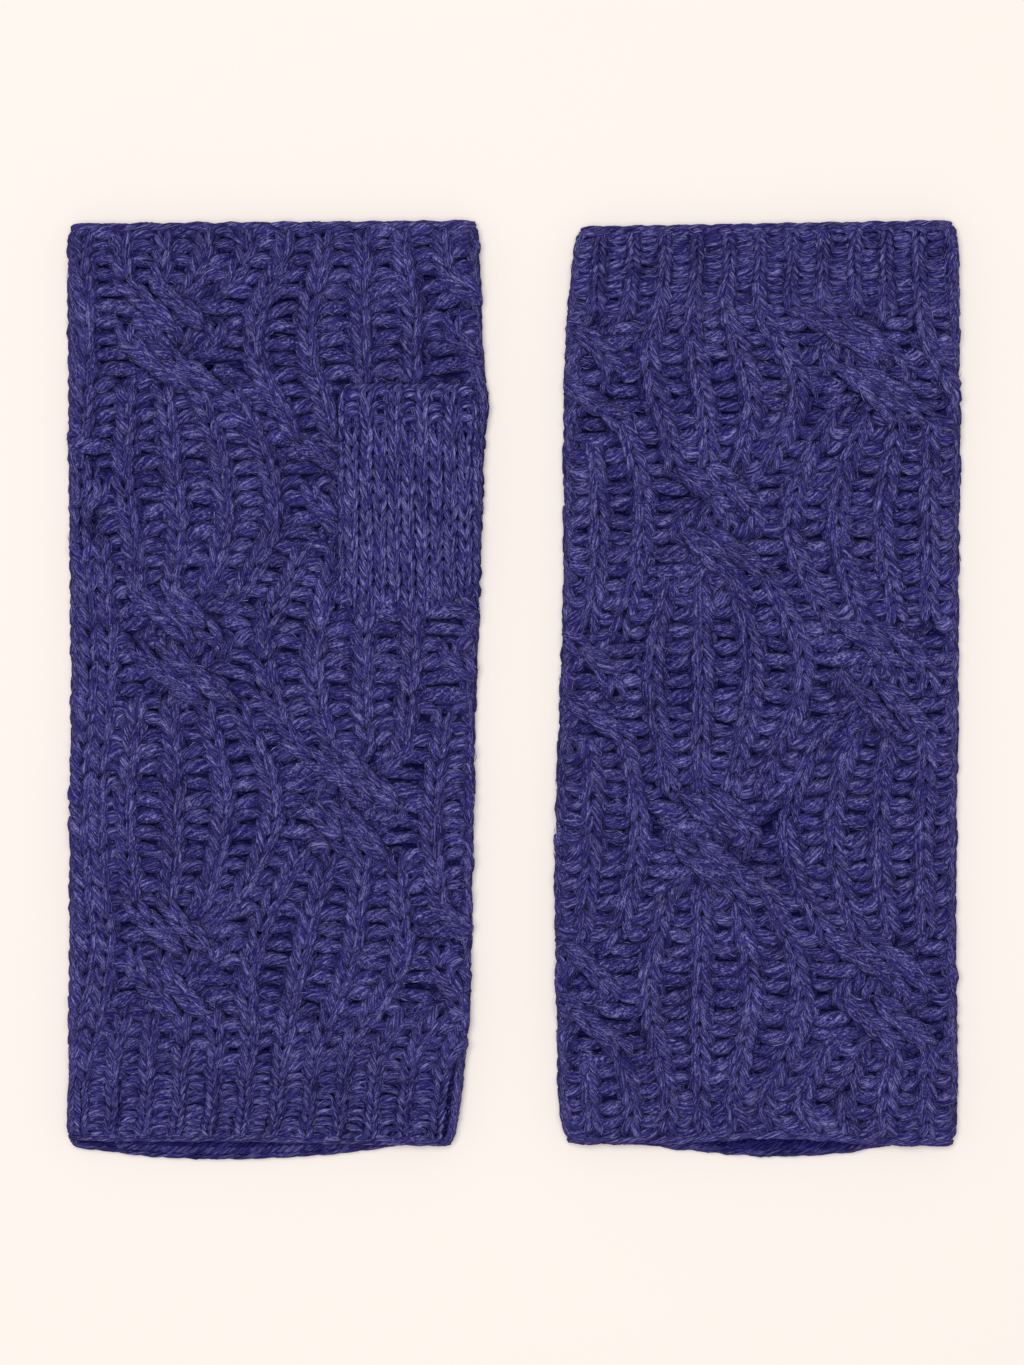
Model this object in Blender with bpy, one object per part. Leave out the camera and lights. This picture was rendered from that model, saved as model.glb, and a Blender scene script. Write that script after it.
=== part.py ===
"""A pair of chunky cable-knit fingerless mittens at real size, laid flat side by side.

The right-hand mitten lies palm up with its finger end at the back. The left-hand mitten lies
back up with its finger end at the front, and its thumb is under it. Each is a knitted tube laid
flat: an upper and a lower wall that lie on each other, a finer ribbed cuff at the wrist, and a
short thumb tube of two layers over a slit. The knit is one plain, one purl rib, and its plain
wales cross in columns of four. Metres, +Z up, +Y towards the back, standing on Z = 0.
"""

import math
from collections import namedtuple

import bmesh
import bpy
from mathutils import Vector

MM = 0.001

# The knit: wales across, and the cable columns that they make.
HALF_WIDTH = 50 * MM
WALES_IN_COLUMN = 4
KNOT_PERIOD = 76.6 * MM
PINCH = 0.28
PINCH_FROM_CUFF = 15 * MM
PINCH_FROM_FINGER_END = 12 * MM
TURNS_IN_KNOT = 2
TURN_HALF = 7.2 * MM
ROPE_HALF = 1.35

# The walls, from the floor up. The upper wall is the lower one's mirror, with its ribs raised.
LOWER_WALL = 3.9 * MM
SEAM_GAP = 0.3 * MM
VALLEY_WALL = 2.5 * MM
RIB_RISE = 1.7 * MM
CABLE_RISE = 1.6 * MM
CUFF_WALL = 2.3 * MM
CUFF_RIB_RISE = 1.0 * MM
CUFF_RIB_HALF = 0.36
EDGE_WALL = 1.1 * MM
SIDE_ROLL = 4.6 * MM
END_ROLL = 1.6 * MM
CORNER_RADIUS = 2.8 * MM
FINGER_EDGE = 5.0 * MM
FINGER_EDGE_THINNING = 0.6 * MM

# The ribbed cuff, and the mouth of the end that faces the front.
CUFF_LENGTH = 16.4 * MM
MOUTH_LIFT = 1.2 * MM
MOUTH_DEPTH = 14 * MM
MOUTH_HALF = 30 * MM
BULGE_DEPTH = 22 * MM

# The thumb tube, two layers that lie flat over a slit in the palm.
THUMB_WIDTH = 33.6 * MM
THUMB_LENGTH = 50.5 * MM
THUMB_WALL = 1.6 * MM
THUMB_BED = 2.1 * MM
THUMB_BED_MARGIN = 1.4 * MM
THUMB_BED_RAMP = 2.4 * MM
THUMB_CORNER = 3.6 * MM
THUMB_ROLL = 1.5 * MM
THUMB_BASE = 13 * MM
FLAT_THUMB_WALL = 1.2 * MM
SLIT_WIDTH = 0.8 * MM
SLIT_LENGTH = 26 * MM
SLIT_FROM_BASE = 8.5 * MM
THUMB_ROUNDING = 0.6
RECESS_MARGIN = 1.0 * MM
RECESS_RAMP = 7 * MM
RECESS_LIFT = 1.3 * MM

# How close the mesh's rows and columns lie. A wale's crest, its flanks and its valley each have one.
ROW_STEP = 3.7 * MM
COLUMNS_IN_WALE = 4
EDGE_COLUMNS = (0.05, 0.14)
LOWER_ROW_STEP = 6 * MM
LOWER_COLUMN_STEP = 0.5

# One height of an outline: from the front end, then its left and right edges from the centre line.
Section = namedtuple("Section", "height left right")

# One mitten, laid out. A wale number counts from the left edge.
Mitten = namedtuple(
    "Mitten",
    "hand centre length wales cuff_wales first_column knot_height cuff_in_front mouth_centre"
    " front_bulge bulge_half front_tilt back_tilt thumb_left thumb_base outline",
)

RIGHT_HAND = Mitten(
    hand="right_hand",
    centre=-59.4 * MM,
    length=225.0 * MM,
    wales=10.1,
    cuff_wales=11.5,
    first_column=0.8,
    knot_height=43.6 * MM,
    cuff_in_front=True,
    mouth_centre=-5.4 * MM,
    front_bulge=4.2 * MM,
    bulge_half=38 * MM,
    front_tilt=-0.8 * MM,
    back_tilt=0.4 * MM,
    thumb_left=16.8 * MM,
    thumb_base=135.0 * MM,
    outline=[
        Section(0 * MM, -50.4 * MM, 44.3 * MM),
        Section(15 * MM, -49.8 * MM, 46.5 * MM),
        Section(60 * MM, -49.5 * MM, 48.8 * MM),
        Section(110 * MM, -49.0 * MM, 50.0 * MM),
        Section(150 * MM, -49.2 * MM, 51.7 * MM),
        Section(172 * MM, -49.3 * MM, 52.5 * MM),
        Section(181 * MM, -49.3 * MM, 53.2 * MM),
        Section(188 * MM, -49.4 * MM, 52.2 * MM),
        Section(200 * MM, -49.5 * MM, 51.4 * MM),
        Section(225 * MM, -49.7 * MM, 50.4 * MM),
    ],
)

LEFT_HAND = Mitten(
    hand="left_hand",
    centre=59.9 * MM,
    length=224.4 * MM,
    wales=10.4,
    cuff_wales=11.8,
    first_column=2.2,
    knot_height=75.8 * MM,
    cuff_in_front=False,
    mouth_centre=4.0 * MM,
    front_bulge=3.4 * MM,
    bulge_half=30 * MM,
    front_tilt=-0.3 * MM,
    back_tilt=0.9 * MM,
    thumb_left=-48.6 * MM,
    thumb_base=90.0 * MM,
    outline=[
        Section(0 * MM, -47.5 * MM, 48.3 * MM),
        Section(6 * MM, -48.3 * MM, 48.3 * MM),
        Section(22 * MM, -49.2 * MM, 48.3 * MM),
        Section(60 * MM, -49.7 * MM, 48.4 * MM),
        Section(96 * MM, -48.8 * MM, 48.6 * MM),
        Section(133 * MM, -47.8 * MM, 48.8 * MM),
        Section(170 * MM, -47.5 * MM, 49.2 * MM),
        Section(196 * MM, -47.0 * MM, 49.2 * MM),
        Section(211 * MM, -46.1 * MM, 49.2 * MM),
        Section(224.4 * MM, -44.6 * MM, 48.5 * MM),
    ],
)

YARN_COLOUR = (0.052, 0.048, 0.172, 1.0)
YARN_ROUGHNESS = 0.9


def smooth(value):
    """An S curve from 0 to 1, held at its ends."""
    value = min(1.0, max(0.0, value))
    return value * value * (3 - 2 * value)


def rounded(inward, radius):
    """How high a quarter round stands, as a share of its height, this far in from its edge."""
    share = min(1.0, max(0.0, inward / radius))
    return math.sqrt(1 - (1 - share) ** 2)


def outline_edge(mitten, height, side):
    """The left or right edge at a height, as a smooth curve through the outline's sections."""
    rows = mitten.outline
    last = len(rows) - 1
    i = max(0, min(last - 1, sum(row.height <= height for row in rows) - 1))
    before, low, high, after = (rows[max(0, min(last, k))] for k in range(i - 1, i + 3))
    span = high.height - low.height
    t = (height - low.height) / span
    start_slope = (getattr(high, side) - getattr(before, side)) / (high.height - before.height) * span
    end_slope = (getattr(after, side) - getattr(low, side)) / (after.height - low.height) * span
    edge = (
        (2 * t**3 - 3 * t**2 + 1) * getattr(low, side)
        + (t**3 - 2 * t**2 + t) * start_slope
        + (3 * t**2 - 2 * t**3) * getattr(high, side)
        + (t**3 - t**2) * end_slope
    )
    to_end = min(height, mitten.length - height)
    corner = CORNER_RADIUS * (1 - rounded(to_end, CORNER_RADIUS))
    return edge + corner if side == "left" else edge - corner


def cuff_span(mitten):
    """The two heights between which the cuff lies."""
    if mitten.cuff_in_front:
        return 0.0, CUFF_LENGTH
    return mitten.length - CUFF_LENGTH, mitten.length


def from_cuff(mitten, height):
    """How far into the body a height lies, from the cuff's seam."""
    low, high = cuff_span(mitten)
    return max(0.0, height - high if mitten.cuff_in_front else low - height)


def from_finger_end(mitten, height):
    return mitten.length - height if mitten.cuff_in_front else height


def visible_wales(mitten, height):
    """How many wales show across: the cuff draws them together, so more of them show there."""
    return mitten.wales if from_cuff(mitten, height) > 0 else mitten.cuff_wales


def column_knot(mitten, column):
    """A knot's height in this column: neighbours stand half a period apart."""
    return mitten.knot_height + (column % 2) * KNOT_PERIOD / 2


def column_width(mitten, column, height):
    """How wide this column's wales are here, against their mean: narrow at a knot, wide between."""
    turns = (height - column_knot(mitten, column)) / KNOT_PERIOD
    pinch = PINCH * smooth(from_cuff(mitten, height) / PINCH_FROM_CUFF)
    pinch *= smooth(from_finger_end(mitten, height) / PINCH_FROM_FINGER_END)
    return 1 - pinch * math.cos(2 * math.pi * turns)


def wales_passed(mitten, wale, height):
    """The width from the left edge to this wale, in mean wales."""
    passed = 0.0
    for column in range(-1, 3):
        start = mitten.first_column + WALES_IN_COLUMN * column
        inside = min(wale, start + WALES_IN_COLUMN) - max(0.0, start)
        passed += max(0.0, inside) * column_width(mitten, column, height)
    return passed


def across(mitten, wale, height):
    """X of a wale at a height, from the mitten's centre line."""
    left = outline_edge(mitten, height, "left")
    right = outline_edge(mitten, height, "right")
    whole = wales_passed(mitten, visible_wales(mitten, height), height)
    return left + (right - left) * wales_passed(mitten, wale, height) / whole


def crest(offset, half_width):
    """The rounded profile of one wale, from 1 at its middle to 0 at its sides."""
    return 0.5 + 0.5 * math.cos(math.pi * min(1.0, abs(offset) / half_width))


def turn_progress(mitten, column, height):
    """How far the cable's crossing has gone here, from 0 at its back to 1 at its front, or None."""
    knot = column_knot(mitten, column)
    knot += round((height - knot) / KNOT_PERIOD) * KNOT_PERIOD
    reach = TURN_HALF * TURNS_IN_KNOT
    if abs(height - knot) >= reach or from_cuff(mitten, knot) < reach:
        return None
    if from_finger_end(mitten, knot) < reach:
        return None
    return ((knot + reach - height) / (2 * TURN_HALF)) % 1.0


def body_relief(mitten, wale, height):
    """How far the body's knit stands over its purl valleys: its plain wales, and the cables.

    In a turn the column's left pair of wales runs over its right pair as one rope.
    """
    column = math.floor((wale - mitten.first_column) / WALES_IN_COLUMN)
    place = wale - mitten.first_column - WALES_IN_COLUMN * column
    relief = RIB_RISE * crest(place % 1.0 - 0.5, 0.5)
    progress = turn_progress(mitten, column, height)
    if progress is not None:
        swell = 4 * progress * (1 - progress)
        rope = (RIB_RISE + CABLE_RISE) * crest(place - 1 - 2 * progress, ROPE_HALF)
        relief = max(relief * (1 - swell), rope * swell)
    return relief * smooth(from_finger_end(mitten, height) / FINGER_EDGE + 0.25)


def thumb_distance(mitten, x, y):
    """How far a point lies outside the thumb's rectangle, or 0 inside it."""
    mouth = mitten.thumb_base + THUMB_LENGTH
    if not mitten.cuff_in_front:
        mouth = mitten.thumb_base - THUMB_LENGTH
    low, high = sorted((mitten.thumb_base, mouth))
    beyond_x = max(mitten.thumb_left - x, x - mitten.thumb_left - THUMB_WIDTH, 0.0)
    beyond_y = max(low - y, y - high, 0.0)
    return math.hypot(beyond_x, beyond_y)


def mouth_lift(mitten, x, y):
    """How far the upper wall gapes at the open end in front."""
    share = max(0.0, 1 - ((x - mitten.mouth_centre) / MOUTH_HALF) ** 2) ** 2
    return MOUTH_LIFT * share * smooth(1 - y / MOUTH_DEPTH)


def thumb_lift(mitten, x, y):
    """How far both walls are raised over a thumb that lies under them."""
    if mitten.cuff_in_front:
        return 0.0
    return RECESS_LIFT * smooth(1 - thumb_distance(mitten, x, y) / (2 * RECESS_RAMP))


def laid(mitten, x, height, bulge=0.0):
    """Y of a point: its height, with the ends' slight tilt and the lower wall's bulge in front."""
    share = height / mitten.length
    y = height + mitten.back_tilt * (x / HALF_WIDTH) * share**2
    y += mitten.front_tilt * (x / HALF_WIDTH) * (1 - share) ** 2
    reach = min(1.0, abs(x - mitten.mouth_centre) / mitten.bulge_half)
    y -= bulge * math.cos(math.pi / 2 * reach) ** 2 * smooth(1 - height / BULGE_DEPTH)
    return y


def inward(mitten, x, height):
    """How far in from the nearer side edge a point lies."""
    left = outline_edge(mitten, height, "left")
    right = outline_edge(mitten, height, "right")
    return min(x - left, right - x)


def body_top(mitten, wale, x, height):
    """The upper wall's thickness: purl valleys, plain wales and cables, rolled off at its edges."""
    wall = VALLEY_WALL + body_relief(mitten, wale, height)
    wall -= FINGER_EDGE_THINNING * (1 - smooth(from_finger_end(mitten, height) / FINGER_EDGE))
    if mitten.cuff_in_front:
        clear = (thumb_distance(mitten, x, height) - THUMB_BED_MARGIN) / THUMB_BED_RAMP
        wall = THUMB_BED + (wall - THUMB_BED) * smooth(clear)
    roll = rounded(inward(mitten, x, height), SIDE_ROLL)
    roll = min(roll, rounded(from_finger_end(mitten, height), END_ROLL))
    return EDGE_WALL + (wall - EDGE_WALL) * roll


def cuff_top(mitten, wale, x, height):
    """The cuff's thickness: narrow plain ribs between wide purl valleys."""
    low, high = cuff_span(mitten)
    offset = (wale - mitten.first_column) % 1.0 - 0.5
    wall = CUFF_WALL + CUFF_RIB_RISE * crest(offset, CUFF_RIB_HALF)
    to_hem = height - low if mitten.cuff_in_front else high - height
    roll = rounded(inward(mitten, x, height), SIDE_ROLL)
    roll = min(roll, rounded(to_hem, END_ROLL))
    return EDGE_WALL + (wall - EDGE_WALL) * roll


def heights_between(low, high, step, open_low, open_high):
    """A panel's rows, with one more near each rounded open end."""
    count = max(1, round((high - low) / step))
    rows = [low + (high - low) * i / count for i in range(count + 1)]
    if open_low:
        rows += [low + 0.25 * END_ROLL, low + END_ROLL]
    if open_high:
        rows += [high - 0.25 * END_ROLL, high - END_ROLL]
    return sorted(rows)


def wale_columns(mitten, wales):
    """The upper wall's columns: crests, flanks and valleys, and the rolled side edges."""
    first = mitten.first_column % 1.0
    columns = {0.0, wales} | set(EDGE_COLUMNS) | {wales - edge for edge in EDGE_COLUMNS}
    step = 1 / COLUMNS_IN_WALE
    count = int(wales / step)
    inner = [first - 1 + step * i for i in range(count + 2 * COLUMNS_IN_WALE)]
    margin = 2 * EDGE_COLUMNS[-1]
    columns |= {wale for wale in inner if margin <= wale <= wales - margin}
    return sorted(columns)


def plain_columns(wales):
    """The lower wall's columns, close together only where its sides roll."""
    edges = (0.0, *EDGE_COLUMNS, 2 * EDGE_COLUMNS[-1])
    columns = set(edges) | {wales - edge for edge in edges}
    count = int((wales - 1) / LOWER_COLUMN_STEP)
    columns |= {0.5 + (wales - 1) * i / count for i in range(count + 1)}
    return sorted(columns)


def shell_from_grid(name, columns, rows, outer_point, inner_point, left_out=None):
    """A closed wall: a grid shaped to its outer face, extruded to its inner face.

    outer_point and inner_point take a column and a row and give a point. left_out says which
    cells of the grid are cut away.
    """
    mesh = bmesh.new()
    last_column, last_row = len(columns) - 1, len(rows) - 1
    bmesh.ops.create_grid(mesh, x_segments=last_column, y_segments=last_row, size=1.0)
    place = {
        v: (columns[round((v.co.x + 1) / 2 * last_column)], rows[round((v.co.y + 1) / 2 * last_row)])
        for v in mesh.verts
    }
    if left_out:
        gone = [f for f in mesh.faces if left_out([place[v] for v in f.verts])]
        bmesh.ops.delete(mesh, geom=gone, context="FACES_ONLY")
        loose = [e for e in mesh.edges if not e.link_faces]
        bmesh.ops.delete(mesh, geom=loose, context="EDGES")
    outer = list(mesh.verts)
    made = bmesh.ops.extrude_face_region(mesh, geom=list(mesh.faces), use_keep_orig=True)
    inner = [v for v in made["geom"] if isinstance(v, bmesh.types.BMVert)]
    partner = {tuple(v.co): place[v] for v in outer}
    for v in inner:
        v.co = inner_point(*partner[tuple(v.co)])
    for v in outer:
        v.co = outer_point(*place[v])
    bmesh.ops.recalc_face_normals(mesh, faces=mesh.faces)
    bmesh.ops.dissolve_limit(
        mesh, angle_limit=math.radians(0.05), verts=mesh.verts[:], edges=mesh.edges[:]
    )
    return piece(name, mesh)


def piece(name, mesh):
    """An object in the mittens' collection from a finished bmesh."""
    data = bpy.data.meshes.new(name)
    mesh.to_mesh(data)
    mesh.free()
    data.materials.append(yarn_material(name))
    data.shade_smooth()
    data.set_sharp_from_angle(angle=math.radians(50))
    obj = bpy.data.objects.new(name, data)
    COLLECTION.objects.link(obj)
    return obj


def yarn_material(name):
    material = bpy.data.materials.new(name + "_yarn")
    material.use_nodes = True
    shader = material.node_tree.nodes["Principled BSDF"]
    shader.inputs["Base Color"].default_value = YARN_COLOUR
    shader.inputs["Roughness"].default_value = YARN_ROUGHNESS
    shader.inputs["Metallic"].default_value = 0.0
    return material


def upper_wall(mitten, name, low, high, thickness, open_low, open_high):
    """A panel or a cuff of the upper wall, with its knit raised on a plain inside."""

    def point(wale, height, wall):
        x = across(mitten, wale, height)
        z = LOWER_WALL + SEAM_GAP + wall
        z += mouth_lift(mitten, x, height) + thumb_lift(mitten, x, height)
        return Vector((mitten.centre + x, laid(mitten, x, height), z))

    def outer(wale, height):
        return point(wale, height, thickness(mitten, wale, across(mitten, wale, height), height))

    def inner(wale, height):
        return point(wale, height, 0.0)

    rows = heights_between(low, high, ROW_STEP, open_low, open_high)
    slit = None
    if mitten.cuff_in_front and thickness is body_top:
        rows = sorted(rows + list(slit_edges(mitten)))
        slit = slit_cutter(mitten)
    columns = wale_columns(mitten, visible_wales(mitten, (low + high) / 2))
    return shell_from_grid(name, columns, rows, outer, inner, slit)


def lower_wall(mitten, name, low, high):
    """A panel or a cuff of the lower wall: flat where it rests, rounded at its sides."""

    def point(wale, height, is_inside):
        x = across(mitten, wale, height)
        top = LOWER_WALL + thumb_lift(mitten, x, height)
        roll = rounded(inward(mitten, x, height), SIDE_ROLL)
        under = (LOWER_WALL - EDGE_WALL) * (1 - roll)
        if not mitten.cuff_in_front:
            under = max(under, recess(mitten, x, height))
        y = laid(mitten, x, height, bulge=mitten.front_bulge)
        return Vector((mitten.centre + x, y, top if is_inside else under))

    rows = heights_between(low, high, LOWER_ROW_STEP, False, False)
    slit = None
    if not mitten.cuff_in_front and low == 0.0:
        rows = sorted(rows + list(slit_edges(mitten)))
        slit = slit_cutter(mitten)
    return shell_from_grid(
        name,
        plain_columns(visible_wales(mitten, (low + high) / 2)),
        rows,
        lambda wale, height: point(wale, height, True),
        lambda wale, height: point(wale, height, False),
        slit,
    )


def recess(mitten, x, y):
    """How far the lower wall's underside is raised over the thumb that lies beneath it."""
    depth = 2 * FLAT_THUMB_WALL + 2 * SEAM_GAP
    beyond = thumb_distance(mitten, x, y) - RECESS_MARGIN
    return depth * smooth(1 - beyond / RECESS_RAMP)


def slit_edges(mitten):
    """The heights of the thumb slit's two edges."""
    towards_mouth = 1 if mitten.cuff_in_front else -1
    middle = mitten.thumb_base + towards_mouth * SLIT_FROM_BASE
    return middle - SLIT_WIDTH / 2, middle + SLIT_WIDTH / 2


def slit_cutter(mitten):
    """Says which cells of a panel's grid lie in the slit that the thumb goes through."""
    low, high = slit_edges(mitten)
    middle = mitten.thumb_left + THUMB_WIDTH / 2

    def in_slit(corners):
        heights = [height for _, height in corners]
        if min(heights) < low - MM * 0.01 or max(heights) > high + MM * 0.01:
            return False
        centre = sum(across(mitten, wale, height) for wale, height in corners) / len(corners)
        return abs(centre - middle) < SLIT_LENGTH / 2

    return in_slit


def thumb_layer(mitten, name, bottom, wall, start, end, sink, roll_up):
    """One flat layer of the thumb tube, from its base to its mouth.

    bottom is its underside's height, sink how far it drops to the palm at its base, and roll_up
    says whether its upper or its lower edge is rounded.
    """
    towards_mouth = 1 if mitten.cuff_in_front else -1
    width = THUMB_WIDTH
    sides = (0.0, 0.25 * THUMB_ROLL, THUMB_ROLL, 0.25 * width)
    columns = sorted({*sides, width / 2, *(width - side for side in sides)})
    corners = (0.0, 0.07 * THUMB_CORNER, 0.3 * THUMB_CORNER, THUMB_CORNER)
    rows = {end - corner for corner in corners} | {start + corner for corner in corners}
    rows |= {start + THUMB_BASE * step / 4 for step in range(1, 5)}
    rows |= {start + (end - start) * step / 6 for step in range(2, 6)}

    def point(across_width, along, is_outer):
        to_end = min(along - start, end - along)
        cut = THUMB_CORNER * (1 - rounded(to_end, THUMB_CORNER))
        share = across_width / width
        x = mitten.thumb_left + cut + (width - 2 * cut) * share
        edge = min(across_width, width - across_width, end - along)
        round_off = THUMB_ROUNDING * wall * (1 - rounded(edge, THUMB_ROLL))
        low = bottom - sink * (1 - smooth((along - start) / THUMB_BASE))
        high = low + wall
        if roll_up:
            high -= round_off
        else:
            low += round_off
        y = mitten.thumb_base + towards_mouth * along
        return Vector((mitten.centre + x, y, high if is_outer else low))

    return shell_from_grid(
        name,
        columns,
        sorted(rows),
        lambda across_width, along: point(across_width, along, True),
        lambda across_width, along: point(across_width, along, False),
    )


def build_right_hand():
    """Palm up: the thumb's two layers lie on the upper wall."""
    mitten = RIGHT_HAND
    low, high = cuff_span(mitten)
    seam = high + SEAM_GAP
    upper_wall(mitten, "right_hand_palm", seam, mitten.length, body_top, False, True)
    upper_wall(mitten, "right_hand_palm_cuff", low, high, cuff_top, True, False)
    lower_wall(mitten, "right_hand_back", seam, mitten.length)
    lower_wall(mitten, "right_hand_back_cuff", low, high)
    bed = LOWER_WALL + SEAM_GAP + THUMB_BED + SEAM_GAP
    over = bed + THUMB_WALL + SEAM_GAP
    inner_start = THUMB_BASE + THUMB_WALL
    thumb_layer(
        mitten, "right_hand_thumb_inner", bed, THUMB_WALL, inner_start, THUMB_LENGTH - MM, 0.0, False
    )
    sink = over - bed
    thumb_layer(mitten, "right_hand_thumb_outer", over, THUMB_WALL, 0.0, THUMB_LENGTH, sink, True)


def build_left_hand():
    """Back up: the thumb's two layers lie on the floor, under the palm."""
    mitten = LEFT_HAND
    low, high = cuff_span(mitten)
    seam = low - SEAM_GAP
    upper_wall(mitten, "left_hand_back", 0.0, seam, body_top, True, False)
    upper_wall(mitten, "left_hand_back_cuff", low, high, cuff_top, False, True)
    lower_wall(mitten, "left_hand_palm", 0.0, seam)
    lower_wall(mitten, "left_hand_palm_cuff", low, high)
    above = FLAT_THUMB_WALL + SEAM_GAP
    inner_start = THUMB_BASE + THUMB_WALL
    thumb_layer(
        mitten, "left_hand_thumb_inner", above, FLAT_THUMB_WALL, inner_start, THUMB_LENGTH - MM, 0.0, True
    )
    thumb_layer(mitten, "left_hand_thumb_outer", 0.0, FLAT_THUMB_WALL, 0.0, THUMB_LENGTH, 0.0, False)


def centre_on_origin():
    """Moves the pair so that the middle of its underside is at the origin."""
    corners = [v.co for obj in COLLECTION.objects for v in obj.data.vertices]
    middle_x = (min(c.x for c in corners) + max(c.x for c in corners)) / 2
    middle_y = (min(c.y for c in corners) + max(c.y for c in corners)) / 2
    lowest = min(c.z for c in corners)
    for obj in COLLECTION.objects:
        obj.location = (-middle_x, -middle_y, -lowest)


for old in list(bpy.data.objects):
    bpy.data.objects.remove(old)
COLLECTION = bpy.data.collections.new("fingerless_mittens")
bpy.context.scene.collection.children.link(COLLECTION)
build_right_hand()
build_left_hand()
centre_on_origin()
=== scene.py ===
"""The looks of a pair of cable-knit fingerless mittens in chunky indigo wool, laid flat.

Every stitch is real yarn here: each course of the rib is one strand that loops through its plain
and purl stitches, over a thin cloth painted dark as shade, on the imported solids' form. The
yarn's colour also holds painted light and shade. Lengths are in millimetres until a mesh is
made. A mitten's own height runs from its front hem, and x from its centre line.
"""

import math
from dataclasses import dataclass

import bpy
import numpy as np
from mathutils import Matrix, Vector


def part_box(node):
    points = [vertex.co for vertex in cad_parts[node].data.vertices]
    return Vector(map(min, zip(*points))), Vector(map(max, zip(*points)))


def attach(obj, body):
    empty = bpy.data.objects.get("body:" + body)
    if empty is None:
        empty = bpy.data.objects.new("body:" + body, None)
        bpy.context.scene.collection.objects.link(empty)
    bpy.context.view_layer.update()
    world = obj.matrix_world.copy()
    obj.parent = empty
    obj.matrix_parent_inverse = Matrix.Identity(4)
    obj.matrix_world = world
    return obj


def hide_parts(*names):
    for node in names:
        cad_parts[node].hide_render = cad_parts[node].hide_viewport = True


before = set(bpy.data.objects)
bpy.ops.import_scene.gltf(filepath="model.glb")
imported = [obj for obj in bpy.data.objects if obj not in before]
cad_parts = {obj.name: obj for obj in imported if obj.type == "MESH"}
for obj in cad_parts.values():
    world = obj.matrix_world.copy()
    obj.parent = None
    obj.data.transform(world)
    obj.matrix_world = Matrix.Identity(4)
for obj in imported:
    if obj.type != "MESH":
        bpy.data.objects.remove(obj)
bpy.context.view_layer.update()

# The pale table and the light over it. It is a smooth cream sheet, lit evenly from all round,
# with one large soft lamp to the back left, and seen from straight above as in the photo.
MM = 0.001
PHOTO_WIDTH_PX = 1024
PHOTO_HEIGHT_PX = 1365
PAIR_MIDDLE_PX = (513.0, 690.5)
PIXEL = 0.245
CAMERA_HEIGHT = 1300.0
KNIT_HEIGHT = 7.0
SENSOR = 24.0
TABLE_SIZE = 3000.0
TABLE_COLOUR = (0.930, 0.858, 0.803, 1.0)
TABLE_ROUGHNESS = 0.8
TABLE_SPECULAR = 0.1
SKY_COLOUR = (1.0, 0.985, 0.97, 1.0)
SKY_STRENGTH = 0.30
LAMP_POWER = 32.0
LAMP_SIZE = 900.0
LAMP_PLACE = (-100.0, 80.0, 1950.0)

camera = bpy.data.cameras.new("camera")
camera.sensor_fit = "VERTICAL"
camera.sensor_height = SENSOR
camera.lens = SENSOR * (CAMERA_HEIGHT - KNIT_HEIGHT) / (PHOTO_HEIGHT_PX * PIXEL)
camera_object = bpy.data.objects.new("camera", camera)
camera_object.location = (
    (PHOTO_WIDTH_PX / 2 - PAIR_MIDDLE_PX[0]) * PIXEL * MM,
    (PAIR_MIDDLE_PX[1] - PHOTO_HEIGHT_PX / 2) * PIXEL * MM,
    CAMERA_HEIGHT * MM,
)
bpy.context.scene.collection.objects.link(camera_object)
bpy.context.scene.camera = camera_object

table_mesh = bpy.data.meshes.new("table")
reach = TABLE_SIZE / 2 * MM
corners = [(-reach, -reach, 0), (reach, -reach, 0), (reach, reach, 0), (-reach, reach, 0)]
table_mesh.from_pydata(corners, [], [(0, 1, 2, 3)])
table = bpy.data.objects.new("table", table_mesh)
bpy.context.scene.collection.objects.link(table)
table_paint = bpy.data.materials.new("cream_table")
table_paint.use_nodes = True
paint = table_paint.node_tree.nodes["Principled BSDF"]
paint.inputs["Base Color"].default_value = TABLE_COLOUR
paint.inputs["Roughness"].default_value = TABLE_ROUGHNESS
paint.inputs["Specular IOR Level"].default_value = TABLE_SPECULAR
table_mesh.materials.append(table_paint)

lamp = bpy.data.lights.new("lamp", "AREA")
lamp.energy = LAMP_POWER
lamp.size = LAMP_SIZE * MM
lamp_object = bpy.data.objects.new("lamp", lamp)
lamp_object.location = [p * MM for p in LAMP_PLACE]
aim = np.array(LAMP_PLACE)
lamp_object.rotation_euler = (
    math.acos(aim[2] / np.linalg.norm(aim)),
    0,
    math.atan2(aim[1], aim[0]) + math.pi / 2,
)
bpy.context.scene.collection.objects.link(lamp_object)

sky = bpy.data.worlds.new("sky")
sky.use_nodes = True
sky.node_tree.nodes["Background"].inputs["Color"].default_value = SKY_COLOUR
sky.node_tree.nodes["Background"].inputs["Strength"].default_value = SKY_STRENGTH
bpy.context.scene.world = sky
bpy.context.scene.view_settings.view_transform = "Standard"

# How each mitten lies. It is a knitted tube pressed flat, with both sides rolled where the fabric
# turns under and both ends open, and its place is worked out from its thumb's solid.


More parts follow.
